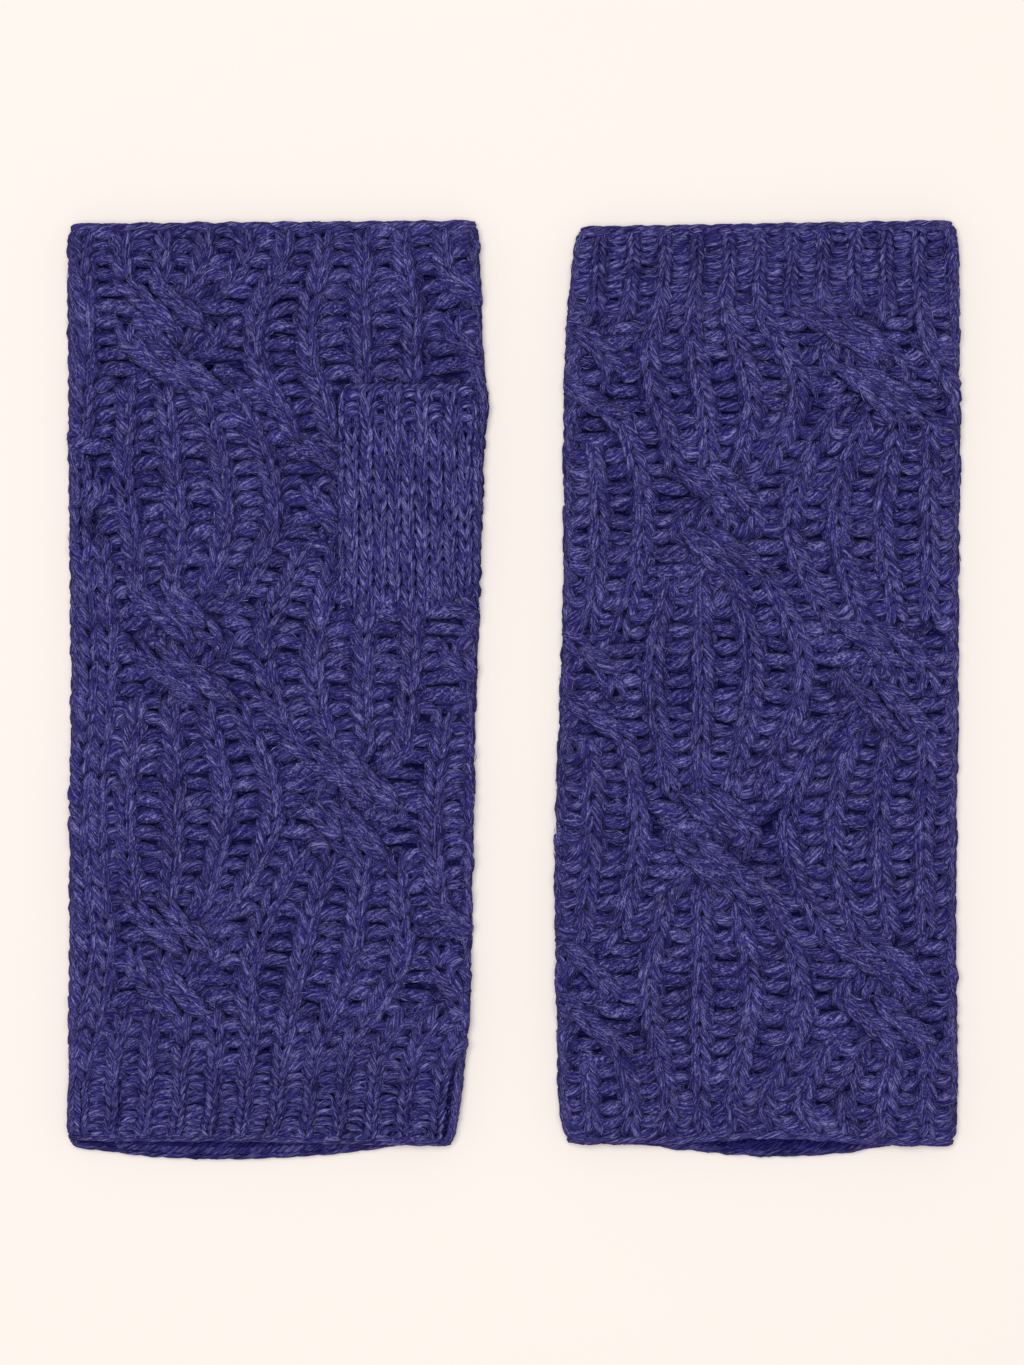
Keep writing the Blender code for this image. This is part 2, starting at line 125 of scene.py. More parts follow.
@dataclass
class Mitten:
    """One mitten's own sizes, from its front hem back and from its centre line.

    around is once round the tube, and wales and cuff_wales are the plain wales that its face shows.
    first_column is the wale where a cable column starts, and knot_height that column's knot. In
    front, the mouth gapes at mouth_centre, where its upper hem is drawn back by mouth_draw, and the
    lower wall reaches past it by drops. band_top and band_room are the smooth band's, and the tilts
    are the hems' slants. height, left and right are the outline's rows.
    """

    hand: str
    thumb_box: str
    seed: int
    length: float
    around: float
    wales: float
    cuff_wales: float
    first_column: float
    knot_height: float
    cuff_in_front: bool
    cuff_shift: float
    mouth_centre: float
    mouth_draw: float
    drop_places: list
    drops: list
    band_top: float
    band_room: float
    front_tilt: float
    back_tilt: float
    thumb_left: float
    thumb_base: float
    height: list
    left: list
    right: list

    def __post_init__(self):
        low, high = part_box(self.thumb_box)
        base = low[1] if self.cuff_in_front else high[1]
        self.place = (low[0] / MM - self.thumb_left, base / MM - self.thumb_base)


RIGHT = Mitten(
    hand="right_hand",
    thumb_box="right_hand_thumb_outer",
    seed=11,
    length=225.0,
    around=200.0,
    wales=10.1,
    cuff_wales=11.5,
    first_column=0.8,
    knot_height=43.6,
    cuff_in_front=True,
    cuff_shift=0.32,
    mouth_centre=-5.4,
    mouth_draw=0.4,
    drop_places=[-52, -47.5, -44.6, -40, -35.8, -27, -15.2, -6.4, 2.5, 14.2, 26, 32, 50],
    drops=[1.4, 2.0, 2.5, 2.8, 3.4, 4.1, 4.35, 4.2, 3.7, 2.7, 1.1, 0, 0],
    band_top=165.0,
    band_room=0.25,
    front_tilt=-0.8,
    back_tilt=0.4,
    thumb_left=16.8,
    thumb_base=135.0,
    height=[0, 15, 60, 110, 150, 172, 181, 188, 200, 225],
    left=[-50.9, -50.2, -49.9, -49.45, -49.8, -49.95, -49.95, -50.05, -50.15, -50.35],
    right=[45.2, 47.2, 49.2, 50.0, 51.6, 52.4, 53.1, 52.2, 51.5, 50.8],
)

LEFT = Mitten(
    hand="left_hand",
    thumb_box="left_hand_thumb_outer",
    seed=23,
    length=224.4,
    around=195.0,
    wales=10.4,
    cuff_wales=11.8,
    first_column=2.2,
    knot_height=75.8,
    cuff_in_front=False,
    cuff_shift=0.0,
    mouth_centre=4.0,
    mouth_draw=1.7,
    drop_places=[-50, -31, -25.3, -19.4, -13.5, -7.7, -1.8, 10, 15.9, 21.7, 27.6, 33.5, 50],
    drops=[0, 0.1, 0.65, 1.4, 1.9, 2.4, 2.85, 2.85, 2.5, 2.0, 0.9, 0, 0],
    band_top=0.0,
    band_room=0.0,
    front_tilt=-0.3,
    back_tilt=0.9,
    thumb_left=-48.6,
    thumb_base=90.0,
    height=[0, 6, 22, 60, 96, 133, 170, 196, 211, 224.4],
    left=[-47.7, -48.5, -49.1, -49.9, -49.05, -47.8, -47.6, -47.3, -46.4, -44.9],
    right=[48.9, 48.9, 48.9, 48.6, 49.1, 49.3, 49.7, 49.6, 49.7, 49.1],
)

CUFF_LENGTH = 16.4
HEM_CORNER = 2.8
HALF_WIDTH = 50.0
DROP_DEPTH = 22.0
MOUTH_LIFT = 1.2
MOUTH_DEPTH = 14.0
MOUTH_HALF = 30.0
THUMB_WIDTH = 33.6
THUMB_LENGTH = 50.5
THUMB_LIFT = 1.3
THUMB_RECESS = 3.0
THUMB_MARGIN = 1.0
THUMB_RAMP = 7.0
BED_MARGIN = 0.3
BED_RAMP = 1.6
BED_DROP = 0.35
BED_HEIGHT = 0.2
SEAM_LEVEL = 4.05
UPPER_RISE = 1.15
LOWER_RISE = 1.5
UNDER_PRESS = 0.55
UNDER_HEIGHTS = (-0.6, 1.2)
ROLL = 4.6
ROLL_POINTS = 25
ROLL_FLATTENING = 0.35
EDGE_INSET = 1.4
EDGE_ROOM = 1.15


def smooth(value):
    value = np.clip(value, 0.0, 1.0)
    return value * value * (3 - 2 * value)


def along_curve(places, values, at):
    """A smooth curve through a table's values, read at any places."""
    places, values = np.asarray(places, float), np.asarray(values, float)
    slopes = np.gradient(values, places)
    i = np.clip(np.searchsorted(places, at, side="right") - 1, 0, len(places) - 2)
    span = places[i + 1] - places[i]
    t = np.clip((at - places[i]) / span, 0, 1)
    return (
        (2 * t**3 - 3 * t**2 + 1) * values[i]
        + (t**3 - 2 * t**2 + t) * span * slopes[i]
        + (3 * t**2 - 2 * t**3) * values[i + 1]
        + (t**3 - t**2) * span * slopes[i + 1]
    )


def edges(mitten, y, inset=EDGE_INSET):
    """Both edges at a height, with the hems' rounded corners."""
    to_end = np.clip(np.minimum(y, mitten.length - y), 0, HEM_CORNER)
    corner = HEM_CORNER * (1 - np.sqrt(1 - (1 - to_end / HEM_CORNER) ** 2))
    left = along_curve(mitten.height, mitten.left, y) + corner + inset
    right = along_curve(mitten.height, mitten.right, y) - corner - inset
    return left, right


def from_cuff(mitten, y):
    """How far a height lies past the cuff, towards the fingers."""
    return y - CUFF_LENGTH if mitten.cuff_in_front else mitten.length - CUFF_LENGTH - y


def thumb_distance(mitten, x, y):
    """How far a point lies outside the thumb's rectangle, or 0 inside it."""
    mouth = mitten.thumb_base + THUMB_LENGTH * (1 if mitten.cuff_in_front else -1)
    low, high = sorted((mitten.thumb_base, mouth))
    beyond_x = np.maximum(np.maximum(mitten.thumb_left - x, x - mitten.thumb_left - THUMB_WIDTH), 0)
    beyond_y = np.maximum(np.maximum(low - y, y - high), 0)
    return np.hypot(beyond_x, beyond_y)


def quarter(rise, roll):
    """The turn at a side, as a quarter ellipse: its angles and the length along it to each."""
    angles = np.linspace(0, math.pi / 2, ROLL_POINTS)
    steps = np.hypot(np.diff(roll * np.cos(angles)), np.diff(rise * np.sin(angles)))
    return angles, np.concatenate([[0], np.cumsum(steps)])


def girth(mitten, y, rise):
    """The width of the wall of this rise, measured over its rolled edges."""
    left, right = edges(mitten, y)
    _, lengths = quarter(rise, ROLL)
    return right - left + 2 * (lengths[-1] - ROLL)


def on_tube(left, right, s, upper_rise, lower_rise, roll):
    """A point of a flattened tube's section, and its outward direction.

    s runs across the upper wall from its left edge. Before 0 and past the right edge it goes on
    round the roll and along the lower wall. It gives x, z over the seam, and the normal's x and z.
    """
    angles, up = quarter(upper_rise, roll)
    _, down = quarter(lower_rise, roll)
    width = right - left + 2 * (up[-1] - roll)
    from_left = s < width / 2
    d = np.where(from_left, s, width - s)
    angle = np.where(d >= 0, np.interp(d, up, angles), -np.interp(-d, down, angles))
    flat = np.where(d >= 0, np.maximum(d - up[-1], 0), np.maximum(-d - down[-1], 0))
    inward = roll - roll * np.cos(angle) + flat
    x = np.where(from_left, left + inward, right - inward)
    rise = np.where(d >= 0, upper_rise, lower_rise)
    z = rise * np.sin(angle)
    normal_x = np.cos(angle) / roll * np.where(from_left, -1, 1)
    normal_z = np.sin(angle) / rise
    size = np.hypot(normal_x, normal_z)
    return x, z, normal_x / size, normal_z / size


def tilted(mitten, x, y):
    """A height with the hems' slant across the mitten added."""
    share = y / mitten.length
    slant = mitten.back_tilt * share**2 + mitten.front_tilt * (1 - share) ** 2
    return y + slant * x / HALF_WIDTH


def on_mitten(mitten, s, y, height, under=False):
    """A point at this height over the mitten's cloth, in the shared frame, in millimetres."""
    left, right = edges(mitten, y)
    if under:
        x, z, normal_x, normal_z = on_tube(left, right, s, LOWER_RISE, UPPER_RISE, ROLL)
        z, normal_z = -z, -normal_z
    else:
        x, z, normal_x, normal_z = on_tube(left, right, s, UPPER_RISE, LOWER_RISE, ROLL)
    upper = smooth(normal_z)
    lower = smooth(-normal_z)
    away = thumb_distance(mitten, x, y)
    if mitten.cuff_in_front:
        bed = (1 - smooth((away - BED_MARGIN) / BED_RAMP)) * upper
        height = height * (1 - bed) + np.minimum(height, BED_HEIGHT) * bed
        z = z - BED_DROP * bed
    else:
        z = z + THUMB_LIFT * smooth(1 - away / (2 * THUMB_RAMP)) * (upper + lower)
        recess = smooth(1 - (away - THUMB_MARGIN) / THUMB_RAMP)
        z = z + (THUMB_RECESS - THUMB_LIFT) * recess * lower
    pressed = np.clip(height * UNDER_PRESS, *UNDER_HEIGHTS)
    height = height * (1 - lower) + pressed * lower
    height = height * (ROLL_FLATTENING + (1 - ROLL_FLATTENING) * np.abs(normal_z))
    gape = np.maximum(0, 1 - ((x - mitten.mouth_centre) / MOUTH_HALF) ** 2) ** 2
    mouth = smooth(1 - y / MOUTH_DEPTH) * upper
    z = z + MOUTH_LIFT * gape * mouth
    drop = along_curve(mitten.drop_places, mitten.drops, x) * smooth(1 - y / DROP_DEPTH) * lower
    place_y = tilted(mitten, x, y) - drop + mitten.mouth_draw * gape * mouth
    outline_left, outline_right = edges(mitten, y, EDGE_ROOM)
    return np.stack(
        [
            mitten.place[0] + np.clip(x + normal_x * height, outline_left, outline_right),
            mitten.place[1] + place_y,
            SEAM_LEVEL + z + normal_z * height,
        ],
        axis=-1,
    )


# The knit's plan: one plain and one purl wale by turns, the plain ones in cable columns of four.
# Neighbouring columns cross half a period apart, and each knot pulls its four wales together.
# By one fold of the right-hand mitten two plain wales lie side by side, as a smooth band.
WALES_IN_COLUMN = 4
COLUMNS = range(-2, 5)
KNOT_PERIOD = 76.6
PINCH = 0.28
PINCH_FROM_CUFF = 15.0
PINCH_FROM_FINGER_END = 12.0
CUFF_DRAW = 34.0
TURN_HALF = 7.2
TURN_REACH = 2 * TURN_HALF
TURN_STEADINESS = 0.75
TURN_SWELL = 0.7
EDGE_WALE = 0.8
CABLE_SQUEEZE = 0.06
BAND_FADE = 20.0
BAND_WALES = 1.3


def from_finger_end(mitten, y):
    return mitten.length - y if mitten.cuff_in_front else y


def shown_wales(mitten, y):
    """How many wales the face shows at a height. The narrow cuff draws more of them in."""
    drawn = smooth(1 - from_cuff(mitten, y) / CUFF_DRAW)
    return mitten.wales + (mitten.cuff_wales - mitten.wales) * drawn


def first_knot(mitten, column):
    return mitten.knot_height + np.mod(column, 2) * KNOT_PERIOD / 2


def nearest_knot(mitten, column, y):
    knot = first_knot(mitten, column)
    return knot + np.round((y - knot) / KNOT_PERIOD) * KNOT_PERIOD


def wale_sum(mitten, wale, y):
    """The width up to a wale, in mean wales, counted from the left edge."""
    pinch = PINCH * smooth(from_cuff(mitten, y) / PINCH_FROM_CUFF)
    pinch = pinch * smooth(from_finger_end(mitten, y) / PINCH_FROM_FINGER_END)
    total = 0.0
    for column in COLUMNS:
        start = mitten.first_column + WALES_IN_COLUMN * column
        turns = (y - first_knot(mitten, column)) / KNOT_PERIOD
        width = 1 - pinch * np.cos(2 * math.pi * turns)
        reached = np.clip(wale - start, 0, WALES_IN_COLUMN) - np.clip(0 - start, 0, WALES_IN_COLUMN)
        total = total + width * reached
    room = mitten.band_room * smooth((mitten.band_top - y) / BAND_FADE)
    return total + room * smooth(wale / BAND_WALES)


def wale_place(mitten, wale, y, rise):
    """How far across the tube a wale lies at a height, on the wall of this rise."""
    whole = wale_sum(mitten, shown_wales(mitten, y), y)
    width = girth(mitten, y, rise)
    shift = mitten.cuff_shift * smooth(1 - from_cuff(mitten, y) / CUFF_DRAW)
    return np.clip(width * (wale_sum(mitten, wale, y) - shift) / whole, -EDGE_WALE, width + EDGE_WALE)


def crossing(mitten, wale, row_y, y):
    """Where a cable carries a wale at y, and how high: its row at row_y says which turn it is in.

    In each turn the first half of the column passes over the second, and the two change places.
    """
    half = WALES_IN_COLUMN / 2
    column = np.floor((wale - mitten.first_column) / WALES_IN_COLUMN)
    place = wale - mitten.first_column - WALES_IN_COLUMN * column
    knot = nearest_knot(mitten, column, row_y)
    turn = np.floor((knot + TURN_REACH - row_y) / (2 * TURN_HALF))
    straight = np.abs(row_y - knot) >= TURN_REACH
    straight = straight | (from_cuff(mitten, knot) < TURN_REACH)
    straight = straight | (from_finger_end(mitten, knot) < TURN_REACH)
    straight = straight | ((column < 0) & (knot + TURN_REACH < mitten.band_top))
    t = np.clip((knot + TURN_REACH - y) / (2 * TURN_HALF) - turn, 0, 1)
    moved = half * (TURN_STEADINESS * t + (1 - TURN_STEADINESS) * smooth(t))
    over = place < half
    swell = np.sin(math.pi * t) ** TURN_SWELL
    drawn = CABLE_SQUEEZE * swell * (np.where(over, half / 2, 3 * half / 2) - place)
    shift = np.where(straight, 0, np.where(over, moved, -moved) + drawn)
    lift = np.where(straight, 0, np.where(over, swell, -swell))
    return wale + shift, lift


# The yarn: one soft, loosely spun strand, indigo wool marled with paler fibres that wind along
# it. Each strand is a tube swept along its course, and carries how its fibres lie and its painted
# light, which darkens and blues its colour as painted shade where little light gets in.
YARN_DARK = (0.0105, 0.0083, 0.090, 1.0)
YARN_MID = (0.049, 0.042, 0.188, 1.0)
YARN_PALE = (0.227, 0.213, 0.462, 1.0)
DEEP_SHADE = (0.11, 0.09, 0.40, 1.0)
SHADE_FROM = 0.15
STREAK_PLACES = (0.405, 0.52, 0.635)
FIBRE_DETAIL = 3.0
FIBRE_ROUGHNESS = 0.62
FIBRE_SCALE = 2.6
FINER_SCALE = 2.3
FINER_DETAIL = 2.0
FINER_SHARE = 0.4
MARL_SCALE = 0.16
MARL_DETAIL = 4.0
MARL_NOISE = (0.3, 0.7)
MARL_TONES = (0.76, 1.22)
WOOL_ROUGHNESS = 0.86
WOOL_SPECULAR = 0.03
SHEEN_WEIGHT = 0.04
SHEEN_ROUGHNESS = 0.45
SHEEN_TINT = (0.42, 0.41, 0.95, 1.0)
FUZZ_STRENGTH = 0.9
FUZZ_DEPTH = 0.6
TWIST = 0.36
FIBRE_STRETCH = 0.085
FIBRE_PLACES = 500
THICKNESS_WAVE = 0.09
THICKNESS_PACE = 0.55
THICKNESS_NOISE = 0.06
THICKNESS_LIMITS = (0.85, 1.2)
FACING_LIGHT = 0.55
LEAST_LIGHT = 0.2


def noise(tree, where, scale, detail, roughness=0.5):
    node = tree.nodes.new("ShaderNodeTexNoise")
    node.inputs["Scale"].default_value = scale
    node.inputs["Detail"].default_value = detail
    node.inputs["Roughness"].default_value = roughness
    tree.links.new(where, node.inputs["Vector"])
    return node.outputs["Fac"]


def ramp(tree, value, stops):
    """A colour ramp over a value, from its (place, colour) stops."""
    node = tree.nodes.new("ShaderNodeValToRGB")
    (first, first_colour), *between, (last, last_colour) = stops
    node.color_ramp.elements[0].position = first
    node.color_ramp.elements[0].color = first_colour
    node.color_ramp.elements[1].position = last
    node.color_ramp.elements[1].color = last_colour
    for at, colour in between:
        node.color_ramp.elements.new(at).color = colour
    tree.links.new(value, node.inputs["Fac"])
    return node.outputs["Color"]


def multiplied(tree, one, two):
    node = tree.nodes.new("ShaderNodeMix")
    node.data_type = "RGBA"
    node.blend_type = "MULTIPLY"
    node.inputs["Factor"].default_value = 1.0
    tree.links.new(one, node.inputs["A"])
    tree.links.new(two, node.inputs["B"])
    return node.outputs["Result"]


def attribute(tree, name):
    node = tree.nodes.new("ShaderNodeAttribute")
    node.attribute_name = name
    return node.outputs


def yarn_material(name, dark, mid, pale, fibre_scale):
    """Wool whose fibres streak it from dark to pale, with painted shade that makes it deeper and bluer
    in tone where little light gets in.
    """
    material = bpy.data.materials.new(name)
    material.use_nodes = True
    tree = material.node_tree
    nodes, link = tree.nodes, tree.links.new
    lay = attribute(tree, "fibre")["Vector"]
    fibres = nodes.new("ShaderNodeMix")
    fibres.inputs["Factor"].default_value = FINER_SHARE
    link(noise(tree, lay, fibre_scale, FIBRE_DETAIL, FIBRE_ROUGHNESS), fibres.inputs["A"])
    link(noise(tree, lay, FINER_SCALE * fibre_scale, FINER_DETAIL), fibres.inputs["B"])
    streaks = ramp(tree, fibres.outputs["Result"], list(zip(STREAK_PLACES, (dark, mid, pale))))

    place = nodes.new("ShaderNodeTexCoord")
    in_millimetres = nodes.new("ShaderNodeMapping")
    in_millimetres.inputs["Scale"].default_value = (1 / MM, 1 / MM, 1 / MM)
    link(place.outputs["Object"], in_millimetres.inputs["Vector"])
    marl = nodes.new("ShaderNodeMapRange")
    marl.inputs["From Min"].default_value = MARL_NOISE[0]
    marl.inputs["From Max"].default_value = MARL_NOISE[1]
    marl.inputs["To Min"].default_value = MARL_TONES[0]
    marl.inputs["To Max"].default_value = MARL_TONES[1]
    link(noise(tree, in_millimetres.outputs["Vector"], MARL_SCALE, MARL_DETAIL), marl.inputs["Value"])

    # Painted shade: each point's painted light, low in hollows and on sides turned away, tints the
    # colour towards DEEP_SHADE.
    stops = [(SHADE_FROM, DEEP_SHADE), (1.0, (1.0, 1.0, 1.0, 1.0))]
    shade = ramp(tree, attribute(tree, "painted_light")["Fac"], stops)
    colour = multiplied(tree, multiplied(tree, streaks, marl.outputs["Result"]), shade)

    shader = nodes["Principled BSDF"]
    link(colour, shader.inputs["Base Color"])
    shader.inputs["Roughness"].default_value = WOOL_ROUGHNESS
    shader.inputs["Specular IOR Level"].default_value = WOOL_SPECULAR
    shader.inputs["Sheen Weight"].default_value = SHEEN_WEIGHT
    shader.inputs["Sheen Roughness"].default_value = SHEEN_ROUGHNESS
    shader.inputs["Sheen Tint"].default_value = SHEEN_TINT
    fuzz = nodes.new("ShaderNodeBump")
    fuzz.inputs["Strength"].default_value = FUZZ_STRENGTH
    fuzz.inputs["Distance"].default_value = FUZZ_DEPTH * MM
    link(fibres.outputs["Result"], fuzz.inputs["Height"])
    link(fuzz.outputs["Normal"], shader.inputs["Normal"])
    return material


WOOL = yarn_material("indigo_marled_wool", YARN_DARK, YARN_MID, YARN_PALE, FIBRE_SCALE)


def directions(steps):
    """Steps made one long, apart from any that go nowhere."""
    return steps / np.maximum(np.linalg.norm(steps, axis=1, keepdims=True), 1e-9)


def strand(path):
    """A path's length to each point, and two directions square to it that don't spin."""
    tangent = directions(np.gradient(path, axis=0))
    sides = np.zeros_like(path)
    side = np.cross(tangent[0], (0.0, 0.0, 1.0)) + (1e-6, 0, 0)
    for i, direction in enumerate(tangent):
        side = side - direction * (side @ direction)
        side = side / math.sqrt(side @ side)
        sides[i] = side
    steps = np.linalg.norm(np.diff(path, axis=0), axis=1)
    return np.concatenate([[0], np.cumsum(steps)]), sides, np.cross(tangent, sides)


def yarn_piece(name, paths, radius, sides, seed, material):
    """One object of many strands, in the shared frame in millimetres: x, y, z, thickness, light."""
    rng = np.random.default_rng(seed)
    around = np.arange(sides) * 2 * math.pi / sides
    points, fibres, quads, caps, lights = [], [], [], [], []
    first = 0
    for row in paths:
        path = row[:, :3]
        count = len(path)
        along, side, other = strand(path)
        swell = 1 + THICKNESS_WAVE * np.sin(along * THICKNESS_PACE + rng.uniform(0, 6))
        swell = swell + THICKNESS_NOISE * rng.standard_normal(count)
        size = radius * row[:, 3] * np.clip(swell, *THICKNESS_LIMITS)
        ring = np.cos(around)[:, None] * side[:, None, :] + np.sin(around)[:, None] * other[:, None, :]
        points.append((path[:, None, :] + size[:, None, None] * ring).reshape(-1, 3))
        turned = around + TWIST * along[:, None] + rng.uniform(0, 6)
        length = along * FIBRE_STRETCH + rng.uniform(0, FIBRE_PLACES)
        length = np.repeat(length[:, None], sides, axis=1)
        fibre = np.stack([radius * np.cos(turned), radius * np.sin(turned), length], axis=-1)
        fibres.append(fibre.reshape(-1, 3))
        # Painted light: the side of each strand that faces out from the cloth is lighter, and its flanks
        # and underside darker.
        facing = ring[:, :, 2] * np.where(path[:, 2] > SEAM_LEVEL, 1, -1)[:, None]
        lights.append(np.clip(row[:, 4][:, None] + FACING_LIGHT * facing, LEAST_LIGHT, 1).ravel())
        grid = first + np.arange(count * sides).reshape(count, sides)
        a, b = grid[:-1], grid[1:]
        quad = np.stack([a, np.roll(a, -1, axis=1), np.roll(b, -1, axis=1), b], axis=-1)
        quads.append(quad.reshape(-1, 4))
        caps.append(tuple(grid[0][::-1].tolist()))
        caps.append(tuple(grid[-1].tolist()))
        first += count * sides
    faces = np.concatenate(quads).tolist() + caps
    points = np.concatenate(points)
    points[:, 2] = np.maximum(points[:, 2], 0.0)
    return mesh_piece(name, points, faces, np.concatenate(fibres), np.concatenate(lights), material)


def mesh_piece(name, points, faces, fibres, lights, material):
    """A mesh from points in millimetres, each with its place in the fibres and its painted light."""
    mesh = bpy.data.meshes.new(name)
    mesh.from_pydata((points * MM).tolist(), [], faces)
    lay = mesh.attributes.new("fibre", "FLOAT_VECTOR", "POINT")
    lay.data.foreach_set("vector", fibres.astype(np.float32).ravel())
    # The painted light layer, which the wool's colour reads as painted shade.
    depth = mesh.attributes.new("painted_light", "FLOAT", "POINT")
    depth.data.foreach_set("value", lights.astype(np.float32))
    mesh.shade_smooth()
    mesh.materials.append(material)
    piece = bpy.data.objects.new(name, mesh)
    bpy.context.scene.collection.objects.link(piece)
    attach(piece, "root")
    return piece


# The bodies, and the stitches of all the knit. A plain stitch is a V of two legs that comes up
# through the one before it. A purl stitch shows its head as a bump, with its feet behind it.
# Each row of a stitch's shape is across, along in rows, height, and thickness in yarns.
PLAIN_STITCH = np.array(
    [
        (-0.42, -0.06, 0.70, 0.95),
        (-0.62, 0.16, 1.65, 1.05),
        (-1.12, 0.48, 2.10, 1.12),
        (-1.58, 0.80, 1.85, 1.08),
        (-1.78, 1.08, 0.85, 1.00),
        (-1.05, 1.32, 0.00, 0.95),
        (0.00, 1.40, -0.20, 0.95),
        (1.05, 1.32, 0.00, 0.95),
        (1.78, 1.08, 0.85, 1.00),
        (1.58, 0.80, 1.85, 1.08),
        (1.12, 0.48, 2.10, 1.12),
        (0.62, 0.16, 1.65, 1.05),
        (0.42, -0.06, 0.70, 0.95),
    ]
)
PURL_STITCH = np.array(
    [
        (-0.56, -0.12, 0.20, 0.95),
        (-0.40, -0.02, 0.75, 1.00),
        (-0.38, 0.60, -0.10, 0.95),
        (-0.42, 1.02, 0.55, 1.12),
        (-0.22, 1.13, 1.20, 1.55),
        (0.00, 1.16, 1.45, 1.69),
        (0.22, 1.13, 1.20, 1.55),
        (0.42, 1.02, 0.55, 1.12),
        (0.38, 0.60, -0.10, 0.95),
        (0.40, -0.02, 0.75, 1.00),
        (0.56, -0.12, 0.20, 0.95),
    ]
)
FEWER_PLAIN = [0, 2, 3, 4, 6, 8, 9, 10, 12]
FEWER_PURL = [0, 1, 2, 4, 5, 6, 8, 9, 10]


@dataclass
class Gauge:
    """How a wall is knitted: its stitches, half a plain one's width, its cables and its yarn."""

    plain: np.ndarray
    purl: np.ndarray
    half: float
    cable: float
    yarn: float
    sides: int


PLAIN_HALF = 2.7
YARN_RADIUS = 1.27
BODY = Gauge(PLAIN_STITCH, PURL_STITCH, PLAIN_HALF, 1.0, YARN_RADIUS, 6)
UNDER_BODY = Gauge(PLAIN_STITCH[FEWER_PLAIN], PURL_STITCH[FEWER_PURL], PLAIN_HALF, 0.3, 1.22, 5)
ROW_PITCH = 3.93
JOINT_PITCH = 2.5
JOINT_LENGTH = 9.0
JOINT_OVERLAP = 0.9
END_LENGTH = 14.0
END_SHARE = 0.6

# How far hand knitting strays: along, width, aside, height and thickness of a plain stitch, and
# width, aside, height, along, thickness and tip of a purl one.
PLAIN_STRAY = np.array([0.09, 0.10, 0.20, 0.20, 0.07])
PURL_STRAY = np.array([0.10, 0.15, 0.30, 0.07, 0.08, 1.25])
MOST_STRAY = 2.0
WALE_OVERHANG = 0.75
LEAN_STEP = 0.4
PLAIN_FILL = 0.52
DEEPEST = -0.8
CABLE_LIFT = 2.8
CABLE_DROP = 1.6
CABLE_ROUND = 1.2
CABLE_THICKER = 0.05
FOLD_LIFT = 0.25
FOLD_LIFT_FROM = 1.0
FOLD_LIFT_REACH = 9.0
BAND_STEP = 4.3
PURL_FROM = 0.72
PURL_GAP = 0.4
PURL_GAP_REACH = 2.4
PURL_LEAST = 1.2
PURL_HIDING = 1.6
PURL_SUNK = 0.7
PURL_THIN = 0.8
UNDER_INSET = 1.2

# How the fabric sways: the size of each wave, and its lengths across and along the mitten.
SWAY_ACROSS = ((0.5, 31, 23), (0.3, -17, 9))
SWAY_ALONG = ((0.8, 19, 41), (0.35, 8.3, -13))
SWAY_FROM_HEM = 9.0
SWAY_FROM_SIDE = 12.0

# How much painted light each yarn's colour gets: from its height, over a full rise, and by the
# folds and the thumb.
PLAIN_LIGHT = 0.5
PLAIN_LIGHT_RISE = 3.5
CABLE_LIGHT = 1.3
PURL_LIGHT = 0.4
PURL_LIGHT_RISE = 3.4
PURL_LIGHT_STRAY = 2.75
EDGE_LIGHT = 0.3
EDGE_LIGHT_REACH = 5.0
THUMB_SHADE = 0.25
THUMB_SHADE_REACH = 2.6


def course_wales(mitten, row_y):
    """The plain wales that a course meets, from the left, once the cables have crossed."""
    most = float(shown_wales(mitten, np.array(row_y)))
    wales = mitten.first_column % 1.0 - 0.5 + np.arange(-1, int(most) + 2)
    wales = wales[(wales > -WALE_OVERHANG) & (wales < most + WALE_OVERHANG)]
    moved, _ = crossing(mitten, wales, row_y, row_y)
    half = WALES_IN_COLUMN / 2
    swapped = np.where(moved - wales > 1, half, np.where(moved - wales < -1, -half, 0))
    return wales[np.argsort(wales + swapped, kind="stable")]


